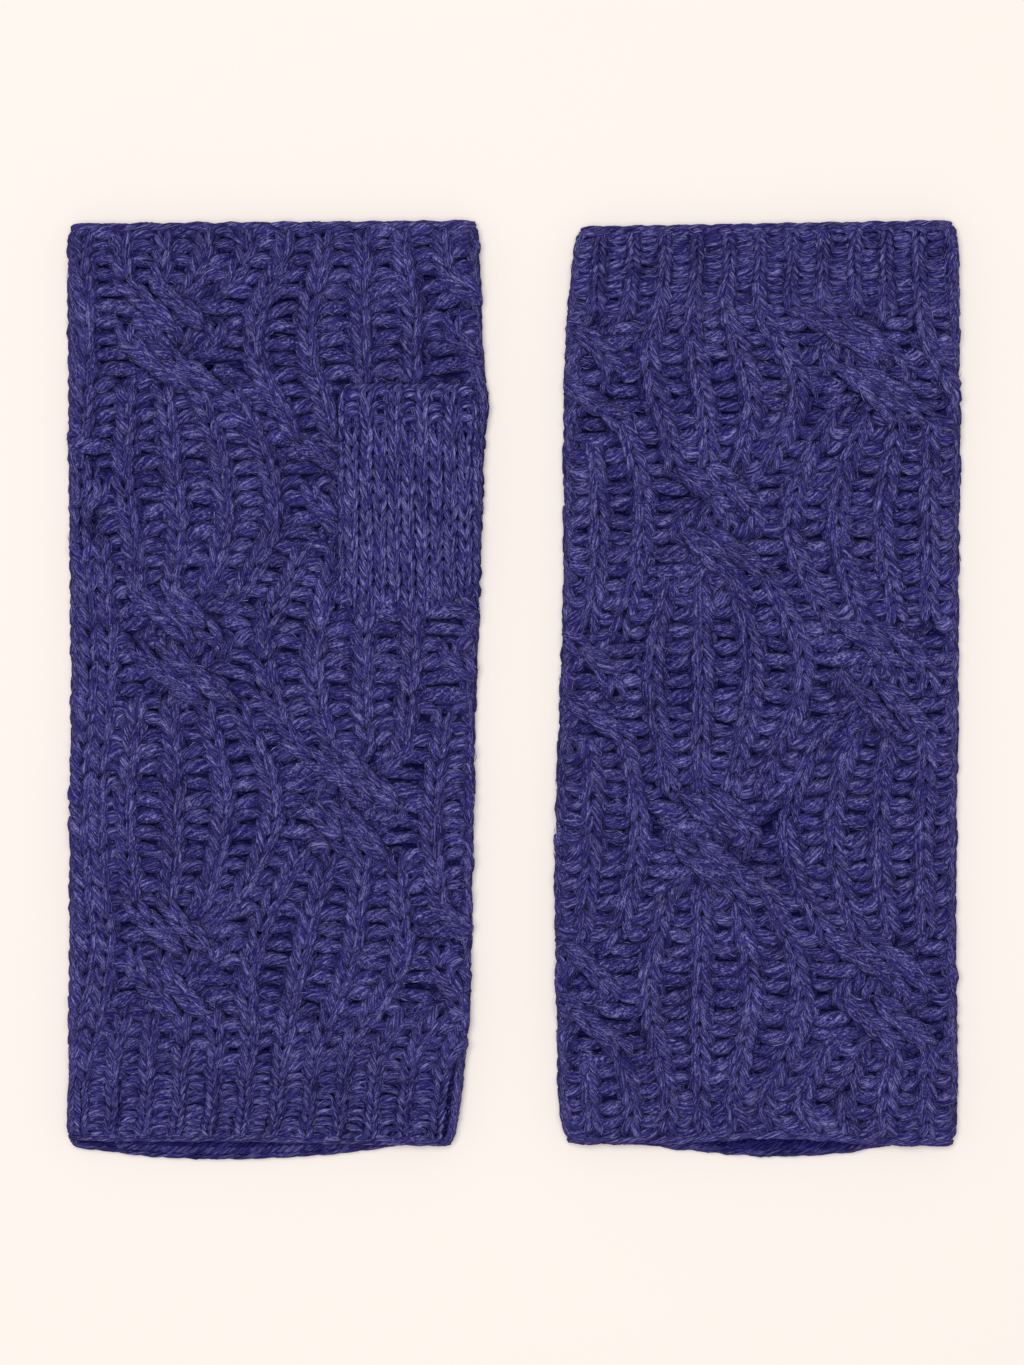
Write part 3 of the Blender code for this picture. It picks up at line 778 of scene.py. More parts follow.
def plain_stitches(mitten, wales, row_y, pitch, half, gauge, rise, rng):
    """A course's plain stitches, rows of points: across, along, height, thickness, light."""
    shape = gauge.plain[None, :, :]
    size = half / PLAIN_HALF
    stray = np.clip(rng.normal(0, 1, (len(wales), 5)), -MOST_STRAY, MOST_STRAY) * PLAIN_STRAY
    up = 1 if mitten.cuff_in_front else -1
    y = row_y + up * pitch * (shape[:, :, 1] + stray[:, 0:1])
    slot, lift = crossing(mitten, wales[:, None] + 0 * y, row_y, y)
    middle = wale_place(mitten, slot, y, rise)
    slot_on, _ = crossing(mitten, wales[:, None] + 0 * y, row_y, y + LEAN_STEP)
    lean = (wale_place(mitten, slot_on, y + LEAN_STEP, rise) - middle) / LEAN_STEP
    room = wale_place(mitten, slot + 0.5, y, rise) - wale_place(mitten, slot - 0.5, y, rise)
    slant = 1 / np.sqrt(1 + lean**2)
    wide = np.minimum(half, PLAIN_FILL * room * slant) / PLAIN_HALF
    offset = wide * (shape[:, :, 0] * (1 + stray[:, 1:2]) + stray[:, 2:3])
    height = shape[:, :, 2] * size + size * stray[:, 3:4]
    from_side = np.minimum(middle, girth(mitten, y, rise) - middle)
    lift = lift * (FOLD_LIFT + (1 - FOLD_LIFT) * smooth((from_side - FOLD_LIFT_FROM) / FOLD_LIFT_REACH))
    rounding = CABLE_ROUND * (offset / half) ** 2 * np.maximum(lift, 0)
    # Painted light: higher points and strands a cable lifts are lighter; the sides of a lifted rope and
    # the strands pressed under a crossing are darker.
    lit = height / size + PLAIN_LIGHT + gauge.cable * (CABLE_LIGHT * lift - rounding)
    lit = np.clip(lit / PLAIN_LIGHT_RISE, 0, 1)
    carried = np.where(lift > 0, CABLE_LIFT * lift, CABLE_DROP * lift) - rounding
    height = np.maximum(height + gauge.cable * carried, DEEPEST)
    thick = shape[:, :, 3] * (1 + stray[:, 4:5])
    thick = thick * (1 + CABLE_THICKER * gauge.cable * np.maximum(lift, 0))
    return np.stack([middle + offset * slant, y - offset * slant * lean, height, thick, lit], axis=-1)


def purl_bar(mitten, wales, band, row_y, pitch, half, gauge, rise, rng):
    """The purl stitch between two wales. It sinks out of sight where a cable brings them together."""
    shape = gauge.purl
    size = half / PLAIN_HALF
    up = 1 if mitten.cuff_in_front else -1
    y = row_y + up * pitch * shape[:, 1]
    here, lift_here = crossing(mitten, wales[0] + 0 * y, row_y, y)
    there, lift_there = crossing(mitten, wales[1] + 0 * y, row_y, y)
    low = wale_place(mitten, here, y, rise) + band
    high = wale_place(mitten, there, y, rise)
    gap = high - low - 2 * half * PURL_FROM
    shows = smooth((gap - PURL_GAP) / (PURL_GAP_REACH * size))
    first, second = np.floor((wales - mitten.first_column) / WALES_IN_COLUMN)
    if first == second:
        lifted = np.maximum(np.abs(lift_here), np.abs(lift_there))
        shows = shows * (1 - smooth(lifted * PURL_HIDING))
    stray = np.clip(rng.normal(0, 1, 6), -MOST_STRAY, MOST_STRAY) * PURL_STRAY
    across = (low + high) / 2 + shape[:, 0] * np.maximum(gap, PURL_LEAST) * (1 + stray[0])
    across = across + size * stray[1]
    height = (shape[:, 2] * size + size * stray[2]) * shows - PURL_SUNK * size * (1 - shows)
    y = y + pitch * stray[3] + size * stray[5] * shape[:, 0]
    thick = shape[:, 3] * (PURL_THIN + (1 - PURL_THIN) * shows) * (1 + stray[4])
    # Painted light: the higher points of a purl stitch are lighter, with some random stray from stitch
    # to stitch.
    lit = np.clip((height / size + PURL_LIGHT) / PURL_LIGHT_RISE, 0, 1)
    lit = lit * (1 + PURL_LIGHT_STRAY * stray[4])
    return np.stack([across, y, height, thick, lit], axis=-1)


def course(mitten, row_y, pitch, half, gauge, rise, rng):
    """One strand across a wall, through its stitches: across, along, height, thickness, light."""
    wales = course_wales(mitten, row_y)
    stitches = plain_stitches(mitten, wales, row_y, pitch, half, gauge, rise, rng)
    path = [stitches[0]]
    for i in range(len(wales) - 1):
        band = 0.0
        if abs(wales[i] + 0.5 - mitten.first_column) < 0.1 and row_y < mitten.band_top:
            band = BAND_STEP * half / PLAIN_HALF
            path.append(stitches[i] + (band, 0, 0, 0, 0))
        path.append(purl_bar(mitten, wales[i : i + 2], band, row_y, pitch, half, gauge, rise, rng))
        path.append(stitches[i + 1])
    return np.concatenate(path)


def sway(mitten, s, y):
    """How the hand-made fabric wanders, across and along, but not at its hems and folds."""
    phases = np.random.default_rng(mitten.seed).uniform(0, 6, 4)
    waves = []
    for (size, across, along), phase in zip(SWAY_ACROSS + SWAY_ALONG, phases):
        waves.append(size * np.sin(s / across + y / along + phase))
    inside = smooth(np.minimum(y, mitten.length - y) / SWAY_FROM_HEM)
    from_side = smooth(np.minimum(s, girth(mitten, y, UPPER_RISE) - s) / SWAY_FROM_SIDE)
    return (waves[0] + waves[1]) * inside * from_side, (waves[2] + waves[3]) * inside


def wall_courses(mitten, rows, pitches, gauge, under, seed):
    """All the courses of one wall, as strands: its rows, and each row's own pitch."""
    rng = np.random.default_rng(seed)
    rise = LOWER_RISE if under else UPPER_RISE
    paths = []
    for row_y, pitch in zip(rows, pitches):
        tight = np.sqrt(pitch / pitches.max())
        half = gauge.half * tight
        s, y, height, thick, lit = course(mitten, row_y, pitch, half, gauge, rise, rng).T
        thick = thick * tight
        across, along = sway(mitten, s, y)
        y = np.clip(y + along, END_SHARE * gauge.half, mitten.length - END_SHARE * gauge.half)
        from_side = np.minimum(s, girth(mitten, y, rise) - s)
        # Painted light: strands near the folds are lighter.
        lit = lit + EDGE_LIGHT * (1 - smooth(from_side / EDGE_LIGHT_REACH))
        if under:
            flat = from_side > UNDER_INSET
            s, y, height = s[flat], y[flat], height[flat]
            across, thick, lit = across[flat], thick[flat], lit[flat]
        place = on_mitten(mitten, s + across, y, height, under)
        # Painted shadow: the palm's strands are darker next to the thumb that lies on them.
        if mitten.cuff_in_front and not under:
            away = thumb_distance(mitten, place[:, 0] - mitten.place[0], y)
            lit = lit * (THUMB_SHADE + (1 - THUMB_SHADE) * smooth(away / THUMB_SHADE_REACH))
        paths.append(np.column_stack([place, thick, lit]))
    return paths


def body_rows(mitten):
    """The courses' heights from the cuff to the finger end, and their pitches."""
    along, pitches = [CUFF_LENGTH - JOINT_OVERLAP], []
    while along[-1] < mitten.length - JOINT_PITCH:
        opened = smooth((along[-1] - CUFF_LENGTH) / JOINT_LENGTH)
        opened = opened * smooth((mitten.length - along[-1]) / END_LENGTH)
        pitches.append(JOINT_PITCH + (ROW_PITCH - JOINT_PITCH) * opened)
        along.append(along[-1] + pitches[-1])
    along = np.array(along[:-1])
    return along if mitten.cuff_in_front else mitten.length - along, np.array(pitches)


# The side folds. The wale that lies on each fold is seen edge-on, as two strands one over the
# other that run up the whole side, waved by its stitches and thinner where they meet the hems.
FOLD_LEVELS = (-1.0, 0.9)
FOLD_INSET = 0.12
FOLD_ROUNDING = 0.25
FOLD_STEP = 1.6
FOLD_START = (0.2, 0.6)
FOLD_INSIDE = (1.4, 1.2)
FOLD_WAVE = 0.14
FOLD_WAVE_OUT = 0.1
FOLD_STRAY = (0.05, 0.2)
FOLD_LIGHT = 0.85
FOLD_THINNEST = 0.7
FOLD_THICKER = 0.25
FOLD_TAPER = 4.0


def fold_strands(mitten, rng):
    first, last = FOLD_INSIDE
    inside = np.arange(first, mitten.length - last, FOLD_STEP)
    ends = [mitten.length - at for at in reversed(FOLD_START)]
    y = np.concatenate([FOLD_START, inside, ends])
    left, right = edges(mitten, y, EDGE_ROOM)
    stitch = y * 2 * math.pi / ROW_PITCH
    paths = []
    for edge, inward in ((left, 1), (right, -1)):
        for level in FOLD_LEVELS:
            wave = FOLD_WAVE * np.sin(stitch + level) + FOLD_STRAY[0] * rng.standard_normal(len(y))
            wave = np.maximum(wave, -FOLD_WAVE_OUT)
            x = edge + inward * (FOLD_INSET + FOLD_ROUNDING * abs(level) + wave)
            z = SEAM_LEVEL + level + FOLD_STRAY[1] * rng.standard_normal(len(y))
            # Painted light: the fold strands are lighter and darker by turns with each stitch.
            lit = FOLD_LIGHT + (1 - FOLD_LIGHT) * np.sin(stitch + 1)
            taper = smooth(np.minimum(y, mitten.length - y) / FOLD_TAPER)
            place_y = mitten.place[1] + tilted(mitten, x, y)
            thick = FOLD_THINNEST + FOLD_THICKER * taper
            paths.append(np.column_stack([mitten.place[0] + x, place_y, z, thick, lit]))
    return paths


top_strands = {}
for gauge, under, faces in ((BODY, False, ("palm", "back")), (UNDER_BODY, True, ("back", "palm"))):
    for mitten, face in zip((RIGHT, LEFT), faces):
        seed = mitten.seed + under
        rows, pitches = body_rows(mitten)
        paths = wall_courses(mitten, rows, pitches, gauge, under, seed)
        if not under:
            paths += fold_strands(mitten, np.random.default_rng(mitten.seed + 9))
            top_strands[mitten.hand] = paths
        name = f"{mitten.hand}_{face}_knit"
        yarn_piece(name, paths, gauge.yarn, gauge.sides, seed, WOOL)
        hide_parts(f"{mitten.hand}_{face}")

# The cuffs. A narrow rib in the same yarn drawn tight on smaller needles, all in one with the
# body: its rows are less than half as high, and its plain wales run on into the body's.
CUFF_PITCH = 1.82
CUFF_START = -0.82
CUFF_END = 0.2
CUFF = Gauge(PLAIN_STITCH[FEWER_PLAIN], PURL_STITCH[FEWER_PURL], 1.75, 0.0, 0.74, 5)

for mitten, faces in ((RIGHT, ("palm", "back")), (LEFT, ("back", "palm"))):
    count = int((CUFF_LENGTH - CUFF_END) / CUFF_PITCH) + 1
    along = CUFF_START + CUFF_PITCH * np.arange(count)
    rows = along if mitten.cuff_in_front else mitten.length - along
    pitches = 0 * rows + CUFF_PITCH
    for face, under in zip(faces, (False, True)):
        paths = wall_courses(mitten, rows, pitches, CUFF, under, mitten.seed + 2)
        name = f"{mitten.hand}_{face}_cuff_knit"
        if not under:
            top_strands[mitten.hand] += [path * (1, 1, 1, CUFF.yarn / YARN_RADIUS, 1) for path in paths]
        yarn_piece(name, paths, CUFF.yarn, CUFF.sides, mitten.seed + 2, WOOL)
        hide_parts(f"{mitten.hand}_{face}_cuff")

# The hems. The finger end is cast off and the cuff cast on: a chain of yarn runs round each rim,
# as two strands twisted about each other. In the mouths that face the front, the lower wall's
# inner side shows past the upper hem as a few more such rows, with painted shade that darkens
# them the deeper they lie.


@dataclass
class Hem:
    """A twisted rim: its yarn, its height over the cloth, how far its strands swing, and its turn."""

    yarn: float
    depth: float
    rise: float
    out: float
    turn: float


CAST_OFF = Hem(yarn=0.95, depth=0.2, rise=0.5, out=0.3, turn=14.4)
CAST_ON = Hem(yarn=0.66, depth=0.1, rise=0.3, out=0.25, turn=10.8)
HEM_SIDES = 6
HEM_LIGHT = 1.1
HEM_ROOM = 0.8
FRONT_HEM_IN = {"right_hand": 0.25, "left_hand": 0.15}
BACK_HEM_IN = {"right_hand": 0.5, "left_hand": -0.05}
RIM_POINTS = 150
RIM_STEP = 0.1
# Each mouth row: its height, and its painted light, darker deeper in the mouth as painted shade.
MOUTH_ROWS = {
    "right_hand": ((1.7, 1.1), (3.0, 0.75), (4.3, 0.3)),
    "left_hand": ((1.9, 0.7), (3.6, 0.3), (5.6, 0.15)),
}
MOUTH_SWING = {"right_hand": 0.42, "left_hand": 0.55}
MOUTH_TURN = {"right_hand": 3.6, "left_hand": 5.4}
MOUTH_SHARES = (0.12, 0.88)
MOUTH_INSIDE = 1.35
ALONG = np.array([(0.0, 1.0, 0.0)])
UPWARD = np.array([(0.0, 0.0, 1.0)])


def twisted(places, outward, rise, out, turn, lit):
    """Two strands that wind about a line of places: they swing outward, and along the mitten."""
    count = len(places)
    turns = round(np.linalg.norm(np.diff(places, axis=0), axis=1).sum() / turn)
    angle = np.linspace(0, 2 * math.pi * turns, count)
    paths = []
    for start in (0, math.pi):
        up = rise * np.cos(angle + start)[:, None] * outward
        aside = out * np.sin(angle + start)[:, None] * ALONG
        paths.append(np.column_stack([places + up + aside, np.ones(count), lit * np.ones(count)]))
    return paths


def mouth_row(mitten, y, lit):
    """A row of the lower wall's inner side, which shows in the mouth beyond the upper hem."""
    s = np.linspace(*MOUTH_SHARES, RIM_POINTS) * girth(mitten, y, LOWER_RISE)
    places = on_mitten(mitten, s, 0 * s + y, 0 * s - MOUTH_INSIDE, True)
    swing = MOUTH_SWING[mitten.hand]
    return twisted(places, UPWARD, swing, swing, MOUTH_TURN[mitten.hand], lit)


def rim(mitten, y, depth):
    """A ring round the whole tube at a height, and its outward directions."""
    inside = min(max(y, HEM_ROOM), mitten.length - HEM_ROOM)
    share = np.linspace(0, 1, RIM_POINTS)
    upper = share * girth(mitten, inside, UPPER_RISE)
    lower = (1 - share) * girth(mitten, inside, LOWER_RISE)
    flat_y = 0 * share + inside
    rings = []
    for level in (depth, depth + RIM_STEP):
        up = on_mitten(mitten, upper, flat_y, 0 * share + level)
        down = on_mitten(mitten, lower, flat_y, 0 * share + level, True)
        rings.append(np.concatenate([up, down[1:]]))
    return rings[0] + (0, y - inside, 0), directions(rings[1] - rings[0])


for mitten in (RIGHT, LEFT):
    front = FRONT_HEM_IN[mitten.hand]
    back = mitten.length - BACK_HEM_IN[mitten.hand]
    cuff_y, finger_y = (front, back) if mitten.cuff_in_front else (back, front)
    for name, hem, y in (("cast_off_edge", CAST_OFF, finger_y), ("cast_on_edge", CAST_ON, cuff_y)):
        places, outward = rim(mitten, y, hem.depth)
        paths = twisted(places, outward, hem.rise, hem.out, hem.turn, HEM_LIGHT)
        if y == front:
            for row_y, lit in MOUTH_ROWS[mitten.hand]:
                paths += mouth_row(mitten, row_y, lit)
        name = f"{mitten.hand}_{name}"
        yarn_piece(name, paths, hem.yarn, HEM_SIDES, mitten.seed + 5, WOOL)

# The thumbs. Each is a small tube of finer plain stitches picked up round a slit in the palm,
# ribbed and cast off at its mouth. The right-hand one lies on the palm, and sinks into it at its
# root. The left-hand one lies under its mitten, pressed thin.
THUMB_PITCH = 3.2
THUMB_STITCHES = 19
THUMB_START = 0.4
THUMB_END = 2.0
THUMB_ROLL = 1.9
THUMB_CORNER = 3.2
THUMB_INSET = 0.75
THUMB_BASE = 13.0
THUMB_RIB = 12.0
THUMB_ROOT = 7.5
THUMB_SIDE_HEIGHT = 0.1
THUMB_LAST = 0.9

# A plain and a purl stitch here: width in stitches, height, thickness. Then how far they stray,
# in width, aside, in height and along, how much more so in the rib, and how each round bends.
THUMB_PLAIN = (1 / 5.5, 1.0, 1.0)
THUMB_PURL = (0.85, 0.65, 1.2)
THUMB_STRAY = np.array([0.06, 0.10, 0.16, 0.05])
THUMB_RIB_STRAY = 1.8
THUMB_BEND = ((0.35, 9.0, 0.7), (0.25, 4.1, -1.0))
THUMB_LINK = (0.25, 0.2, 0.95)
THUMB_LIGHT_FROM = 0.6
THUMB_LIGHT_RISE = 2.2
THUMB_LIGHT = ([-7, -2, 3, 9, 26, 34, 44, 50], [0.2, 0.45, 0.75, 1.0, 1.0, 0.75, 0.62, 0.9])
THUMB_EDGE_IN = 0.8
THUMB_EDGE_OUT = 0.5
THUMB_EDGE_TURN = 4.0
THUMB_EDGE_LIGHT = 0.8
THUMB_EDGE_POINTS = 160
THUMB_DARK = (0.011, 0.009, 0.088, 1.0)
THUMB_MID = (0.053, 0.048, 0.212, 1.0)
THUMB_PALE = (0.28, 0.27, 0.58, 1.0)
THUMB_WOOL = yarn_material("indigo_fine_wool", THUMB_DARK, THUMB_MID, THUMB_PALE, FIBRE_SCALE)


@dataclass
class Thumb:
    """How a thumb lies: its level, how round it is, and how high its stitches and edge stand."""

    level: float
    rise: float
    outer_share: float
    inner_share: float
    sink: float
    rows_in_slit: int
    plain: np.ndarray
    purl: np.ndarray
    yarn: float
    sides: int
    edge_yarn: float
    edge_swing: float
    cloth_depth: float
    cloth_thickness: float


THUMBS = {
    "right_hand": Thumb(
        level=8.25,
        rise=0.75,
        outer_share=0.62,
        inner_share=0.28,
        sink=3.2,
        rows_in_slit=2,
        plain=PLAIN_STITCH,
        purl=PURL_STITCH,
        yarn=0.80,
        sides=6,
        edge_yarn=0.66,
        edge_swing=0.5,
        cloth_depth=0.25,
        cloth_thickness=0.45,
    ),
    "left_hand": Thumb(
        level=1.36,
        rise=0.16,
        outer_share=0.22,
        inner_share=0.22,
        sink=0.0,
        rows_in_slit=0,
        plain=PLAIN_STITCH[FEWER_PLAIN],
        purl=PURL_STITCH[FEWER_PURL],
        yarn=0.62,
        sides=5,
        edge_yarn=0.5,
        edge_swing=0.3,
        cloth_depth=0.15,
        cloth_thickness=0.2,
    ),
}


def on_thumb(mitten, s, v, height):
    """A point on the thumb's tube. s runs over its outer face, and on round its other face."""
    thumb = THUMBS[mitten.hand]
    to_end = np.clip(np.minimum(v + THUMB_ROOT, THUMB_LENGTH - v), 0, THUMB_CORNER)
    corner = THUMB_CORNER * (1 - np.sqrt(1 - (1 - to_end / THUMB_CORNER) ** 2))
    left, right = THUMB_INSET + corner, THUMB_WIDTH - THUMB_INSET - corner
    up = 1 if mitten.cuff_in_front else -1
    x, z, normal_x, normal_z = on_tube(left, right, s, thumb.rise, thumb.rise, THUMB_ROLL)
    share = np.where(normal_z > 0, thumb.outer_share, thumb.inner_share)
    height = height * (share * np.abs(normal_z) + THUMB_SIDE_HEIGHT)
    sink = thumb.sink * (1 - smooth((v + THUMB_ROOT) / (THUMB_BASE + THUMB_ROOT)))
    return np.stack(
        [
            mitten.place[0] + mitten.thumb_left + x + normal_x * height,
            mitten.place[1] + mitten.thumb_base + up * v,
            thumb.level - sink + up * (z + normal_z * height),
        ],
        axis=-1,
    )


def thumb_round(mitten):
    """The length once round the thumb."""
    _, lengths = quarter(THUMBS[mitten.hand].rise, THUMB_ROLL)
    return 2 * (THUMB_WIDTH - 2 * THUMB_INSET + 2 * (lengths[-1] - THUMB_ROLL))


def thumb_ring(mitten, v, share):
    """A ring round the thumb, or part of one, and its outward directions."""
    whole = thumb_round(mitten)
    s = share * whole - whole / 4
    places = on_thumb(mitten, s, 0 * s + v, 0 * s)
    return places, directions(on_thumb(mitten, s, 0 * s + v, 0 * s + 1) - places)


def thumb_course(mitten, row, rng):
    """One round of the thumb's stitches. Its last rows are ribbed, one plain and one purl."""
    thumb = THUMBS[mitten.hand]
    whole = thumb_round(mitten)
    wide = whole / THUMB_STITCHES
    v = THUMB_START + row * THUMB_PITCH
    ribbed = v > THUMB_LENGTH - THUMB_RIB
    back, link_height, link_thickness = THUMB_LINK
    parts = []
    for k in range(THUMB_STITCHES + 1):
        purl = ribbed and k % 2 == 1
        stray = rng.normal(0, 1, 4) * (THUMB_RIB_STRAY if ribbed else 1.0) * THUMB_STRAY
        shape = thumb.purl if purl else thumb.plain
        width, rise, thickness = THUMB_PURL if purl else THUMB_PLAIN
        across = shape[:, 0] * wide * width * (1 + stray[0]) + stray[1]
        s = (k + 0.5) * wide + across - whole / 4
        along = v + THUMB_PITCH * (shape[:, 1] + stray[3])
        parts.append(np.column_stack([s, along, shape[:, 2] * rise + stray[2], shape[:, 3] * thickness]))
        link_s = (k + 1) * wide - whole / 4
        parts.append([[link_s, v - back * THUMB_PITCH, link_height, link_thickness]])
    s, along, height, thick = np.concatenate(parts).T
    bend = sum(size * np.sin(s / wave + row * turn) for size, wave, turn in THUMB_BEND)
    along = np.minimum(along + bend, THUMB_LENGTH - THUMB_LAST)
    # Painted light: from each point's height, and along the thumb, darker at its root in the palm and
    # over its rib.
    lit = np.clip((height + THUMB_LIGHT_FROM) / THUMB_LIGHT_RISE, 0, 1)
    lit = lit * np.interp(along, *THUMB_LIGHT)
    return np.column_stack([on_thumb(mitten, s, along, height), thick, lit])


for mitten in (RIGHT, LEFT):
    thumb = THUMBS[mitten.hand]
    rng = np.random.default_rng(mitten.seed + 3)
    rows = range(-thumb.rows_in_slit, int((THUMB_LENGTH - THUMB_END) / THUMB_PITCH))
    paths = [thumb_course(mitten, row, rng) for row in rows]
    name = f"{mitten.hand}_thumb_knit"
    yarn_piece(name, paths, thumb.yarn, thumb.sides, mitten.seed + 4, THUMB_WOOL)
    if mitten.cuff_in_front:
        top_strands[mitten.hand] += [path * (1, 1, 1, thumb.yarn / YARN_RADIUS, 1) for path in paths]
    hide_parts(f"{mitten.hand}_thumb_outer", f"{mitten.hand}_thumb_inner")

    share = np.linspace(0, 1, THUMB_EDGE_POINTS)
    places, outward = thumb_ring(mitten, THUMB_LENGTH - THUMB_EDGE_IN, share)
    paths = twisted(
        places, outward, thumb.edge_swing, THUMB_EDGE_OUT, THUMB_EDGE_TURN, THUMB_EDGE_LIGHT
    )
    name = f"{mitten.hand}_thumb_edge"
    yarn_piece(name, paths, thumb.edge_yarn, HEM_SIDES, mitten.seed + 6, WOOL)

# Loose fibres. The wool's halo: fine paler hairs that lie along the strands and lift off them
# here and there, as thin as thread, each a three-sided spindle. The folds show more of them.
HAIR_WIDTH = 0.105
HAIR_LENGTHS = (2.2, 4.8)
HAIRS_EACH = 10000
FOLD_SHARE = 4.0
FOLD_REACH = 10.0
HAIR_SPREAD = 0.62
HAIR_SLOPES = (0.1, 0.45)
HAIR_WAYS = (0.25, 0.75)
HAIR_OFF = 0.04
HAIR_ARCH = 0.28
HAIR_ENDS = 0.3
FLICKED_FROM = 0.82
FLICK = (0.2, 0.9)
HAIR_PLACES = 900
HAIR_SCALE = 0.4
HAIR_DARK = (0.085, 0.080, 0.240, 1.0)
HAIR_MID = (0.150, 0.143, 0.360, 1.0)
HAIR_PALE = (0.26, 0.25, 0.52, 1.0)
HAIR_PAINT = yarn_material("pale_wool_hair", HAIR_DARK, HAIR_MID, HAIR_PALE, HAIR_SCALE)


def hairs(name, paths, radius, count, seed):
    """Short hairs on strands, on the side that faces out."""
    rng = np.random.default_rng(seed)
    lengths = np.array([np.linalg.norm(np.diff(path[:, :3], axis=0), axis=1).sum() for path in paths])
    folds = np.array([np.ptp(path[:, 0]) < FOLD_REACH for path in paths])
    weights = lengths * np.where(folds, FOLD_SHARE, 1.0)
    shares = rng.multinomial(count, weights / weights.sum())
    spread = np.array([0.0, 0.5, 1.0])
    points = []
    for path, many in zip(paths, shares):
        along, side, other = strand(path[:, :3])
        outward = np.where(path[:, 2] > SEAM_LEVEL, 1.0, -1.0)
        face = np.arctan2(other[:, 2] * outward, side[:, 2] * outward)
        start = rng.uniform(0, along[-1], many)
        long = rng.uniform(*HAIR_LENGTHS, many)
        at = np.clip(start[:, None] + long[:, None] * spread, 0, along[-1])
        middle = np.interp(at[:, 1], along, np.unwrap(face)) + rng.normal(0, HAIR_SPREAD, many)
        slope = rng.choice([-1, 1], many, p=HAIR_WAYS) * rng.uniform(*HAIR_SLOPES, many)
        angle = middle[:, None] + slope[:, None] * (at - at[:, 1:2])
        arch = np.array([HAIR_ENDS, 1.0, HAIR_ENDS])
        lift = HAIR_OFF + rng.uniform(0, HAIR_ARCH, many)[:, None] * arch
        flicked = rng.uniform(0, 1, many) > FLICKED_FROM
        lift[:, 2] += np.where(flicked, rng.uniform(*FLICK, many), 0)
        reach = radius * np.interp(at, along, path[:, 3]) + lift
        place = np.stack([np.interp(at, along, path[:, i]) for i in range(3)], axis=-1)
        one = np.stack([np.interp(at, along, side[:, i]) for i in range(3)], axis=-1)
        two = np.stack([np.interp(at, along, other[:, i]) for i in range(3)], axis=-1)
        out = np.cos(angle)[..., None] * one + np.sin(angle)[..., None] * two
        beside = -np.sin(angle)[..., None] * one + np.cos(angle)[..., None] * two
        centre = place + reach[..., None] * out
        width = HAIR_WIDTH * rng.uniform(0.7, 1.3, many)[:, None]
        up, across = width * out[:, 1], width * beside[:, 1]
        belly = [centre[:, 1] + up, centre[:, 1] - 0.5 * up + across, centre[:, 1] - 0.5 * up - across]
        points.append(np.stack([centre[:, 0], *belly, centre[:, 2]], axis=1))
    points = np.concatenate(points)
    one_hair = [(0, 2, 1), (0, 3, 2), (0, 1, 3), (4, 1, 2), (4, 2, 3), (4, 3, 1)]
    faces = [tuple(5 * k + i for i in face) for k in range(len(points)) for face in one_hair]
    points = points.reshape(-1, 3)
    points[:, 2] = np.maximum(points[:, 2], 0.0)
    tint = np.repeat(rng.uniform(0, HAIR_PLACES, (len(points) // 5, 3)), 5, axis=0)
    return mesh_piece(name, points, faces, tint, np.ones(len(points)), HAIR_PAINT)


for mitten, face in ((RIGHT, "palm"), (LEFT, "back")):
    name = f"{mitten.hand}_{face}_hairs"
    hairs(name, top_strands[mitten.hand], YARN_RADIUS, HAIRS_EACH, mitten.seed + 8)

# The cloth behind the stitches. It is the knit's inner side, one thin tube from hem to hem on
# the solids' form, in the yarn's colour painted far darker and bluer as painted shade, so that it
# shows only as shadow between the strands. As flat cloth, each body is as far round as twice its
# mean width, and each thumb as twice its own, less its folds.
CLOTH_DEPTH = 0.55
CLOTH_THICKNESS = 0.7
CLOTH_FROM_HEM = 0.5
CLOTH_RINGS = 60
CLOTH_POINTS = 49
CLOTH_FIBRES = (0.16, 0.9, 0.9)
CLOTH_SCALE = 1.6
# Painted shade: the cloth's tones are the yarn's made far darker and bluer, so it reads as the shadow
# between the strands.
SHADED_CLOTH_DARK = (0.002, 0.002, 0.022, 1.0)
SHADED_CLOTH_MID = (0.010, 0.009, 0.075, 1.0)
SHADED_CLOTH_PALE = (0.05, 0.047, 0.20, 1.0)
THUMB_CLOTH_RINGS = 24
THUMB_CLOTH_POINTS = 60
THUMB_CLOTH_FROM_MOUTH = 1.2
SHADED_BACKING = yarn_material("indigo_wool_inside_painted_shade", SHADED_CLOTH_DARK, SHADED_CLOTH_MID, SHADED_CLOTH_PALE, CLOTH_SCALE)


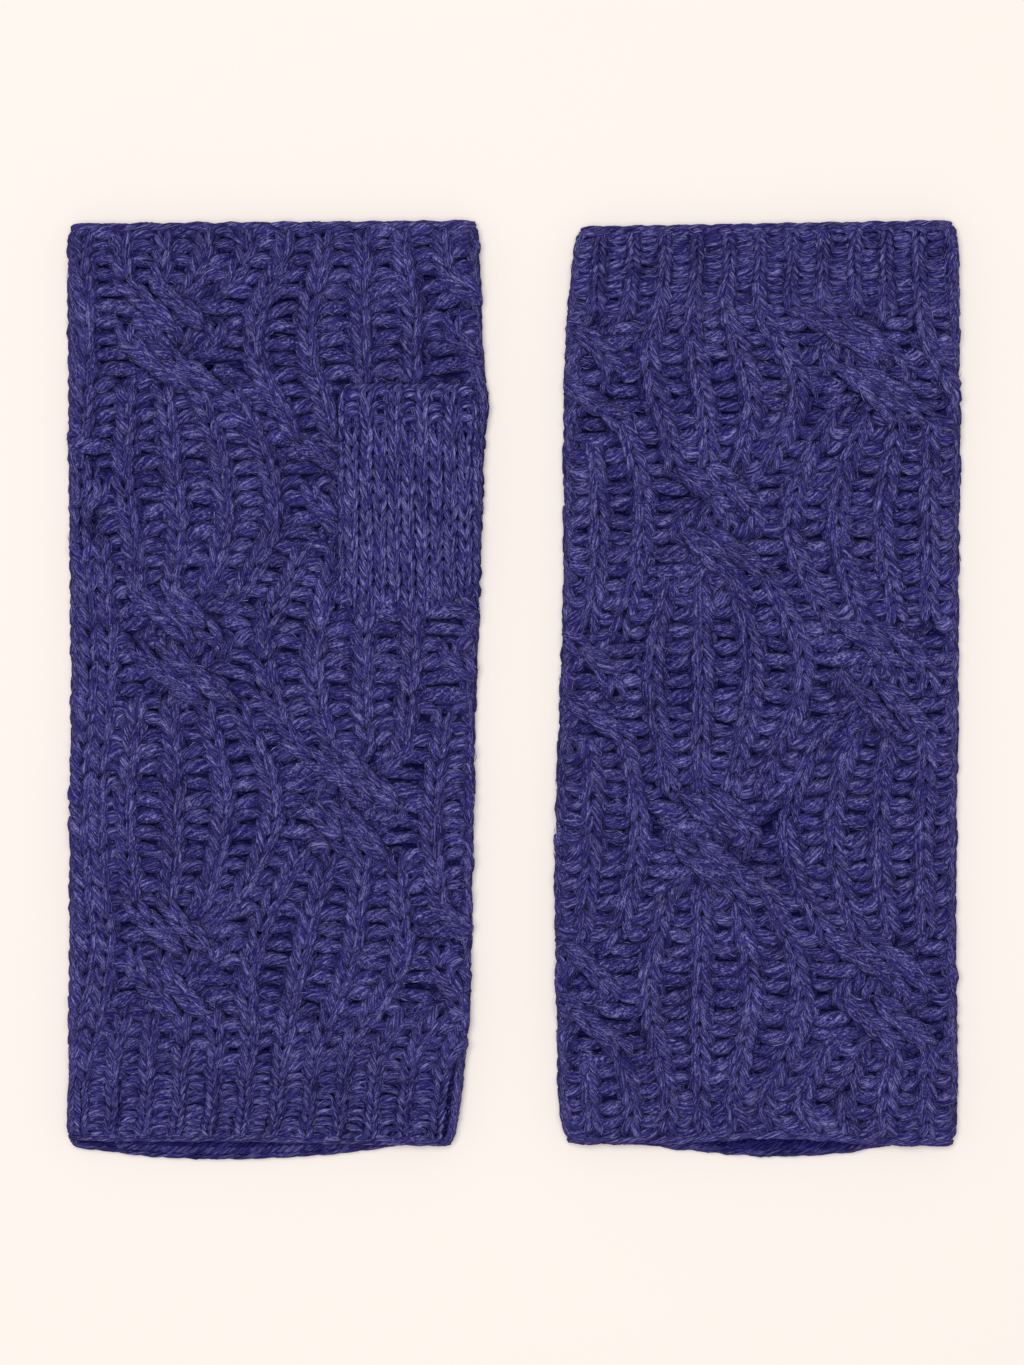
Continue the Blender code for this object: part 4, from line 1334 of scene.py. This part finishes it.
def tube_piece(name, rings, inner):
    """A closed thin tube of cloth from two grids of rings, the outer one and the inner one."""
    count, sides = rings.shape[:2]
    outer_grid = np.arange(count * sides).reshape(count, sides)
    inner_grid = outer_grid + count * sides
    faces = []
    for grid, flip in ((outer_grid, False), (inner_grid, True)):
        a, b = grid[:-1], grid[1:]
        quad = np.stack([a, np.roll(a, -1, axis=1), np.roll(b, -1, axis=1), b], axis=-1).reshape(-1, 4)
        faces += (quad[:, ::-1] if flip else quad).tolist()
    for row, flip in ((0, True), (-1, False)):
        a, b = outer_grid[row], inner_grid[row]
        quad = np.stack([a, np.roll(a, -1), np.roll(b, -1), b], axis=-1)
        faces += (quad[:, ::-1] if flip else quad).tolist()
    points = np.concatenate([rings.reshape(-1, 3), inner.reshape(-1, 3)])
    return mesh_piece(name, points, faces, points * CLOTH_FIBRES, np.ones(len(points)), SHADED_BACKING)


def body_ring(mitten, y, depth):
    """One ring of the mitten's tube, over the upper wall and back along the lower one."""
    upper = np.linspace(0, 1, CLOTH_POINTS)
    lower = 1 - upper[1:-1]
    up_s, down_s = upper * girth(mitten, y, UPPER_RISE), lower * girth(mitten, y, LOWER_RISE)
    up = on_mitten(mitten, up_s, 0 * upper + y, 0 * upper - depth)
    down = on_mitten(mitten, down_s, 0 * lower + y, 0 * lower - depth, True)
    return np.concatenate([up, down])


for mitten in (RIGHT, LEFT):
    heights = np.linspace(CLOTH_FROM_HEM, mitten.length - CLOTH_FROM_HEM, CLOTH_RINGS)
    outer = np.array([body_ring(mitten, y, CLOTH_DEPTH) for y in heights])
    inner = np.array([body_ring(mitten, y, CLOTH_DEPTH + CLOTH_THICKNESS) for y in heights])
    cloth = tube_piece(f"{mitten.hand}_cloth", outer, inner)
    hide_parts(f"{mitten.hand}_palm", f"{mitten.hand}_back")

for mitten in (RIGHT, LEFT):
    thumb = THUMBS[mitten.hand]
    share = np.linspace(0, 1, THUMB_CLOTH_POINTS, endpoint=False)
    outer, inner = [], []
    for v in np.linspace(CLOTH_FROM_HEM, THUMB_LENGTH - THUMB_CLOTH_FROM_MOUTH, THUMB_CLOTH_RINGS):
        places, outward = thumb_ring(mitten, v, share)
        outer.append(places - outward * thumb.cloth_depth)
        inner.append(places - outward * (thumb.cloth_depth + thumb.cloth_thickness))
    cloth = tube_piece(f"{mitten.hand}_thumb_cloth", np.array(outer), np.array(inner))
    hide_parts(f"{mitten.hand}_thumb_outer", f"{mitten.hand}_thumb_inner")
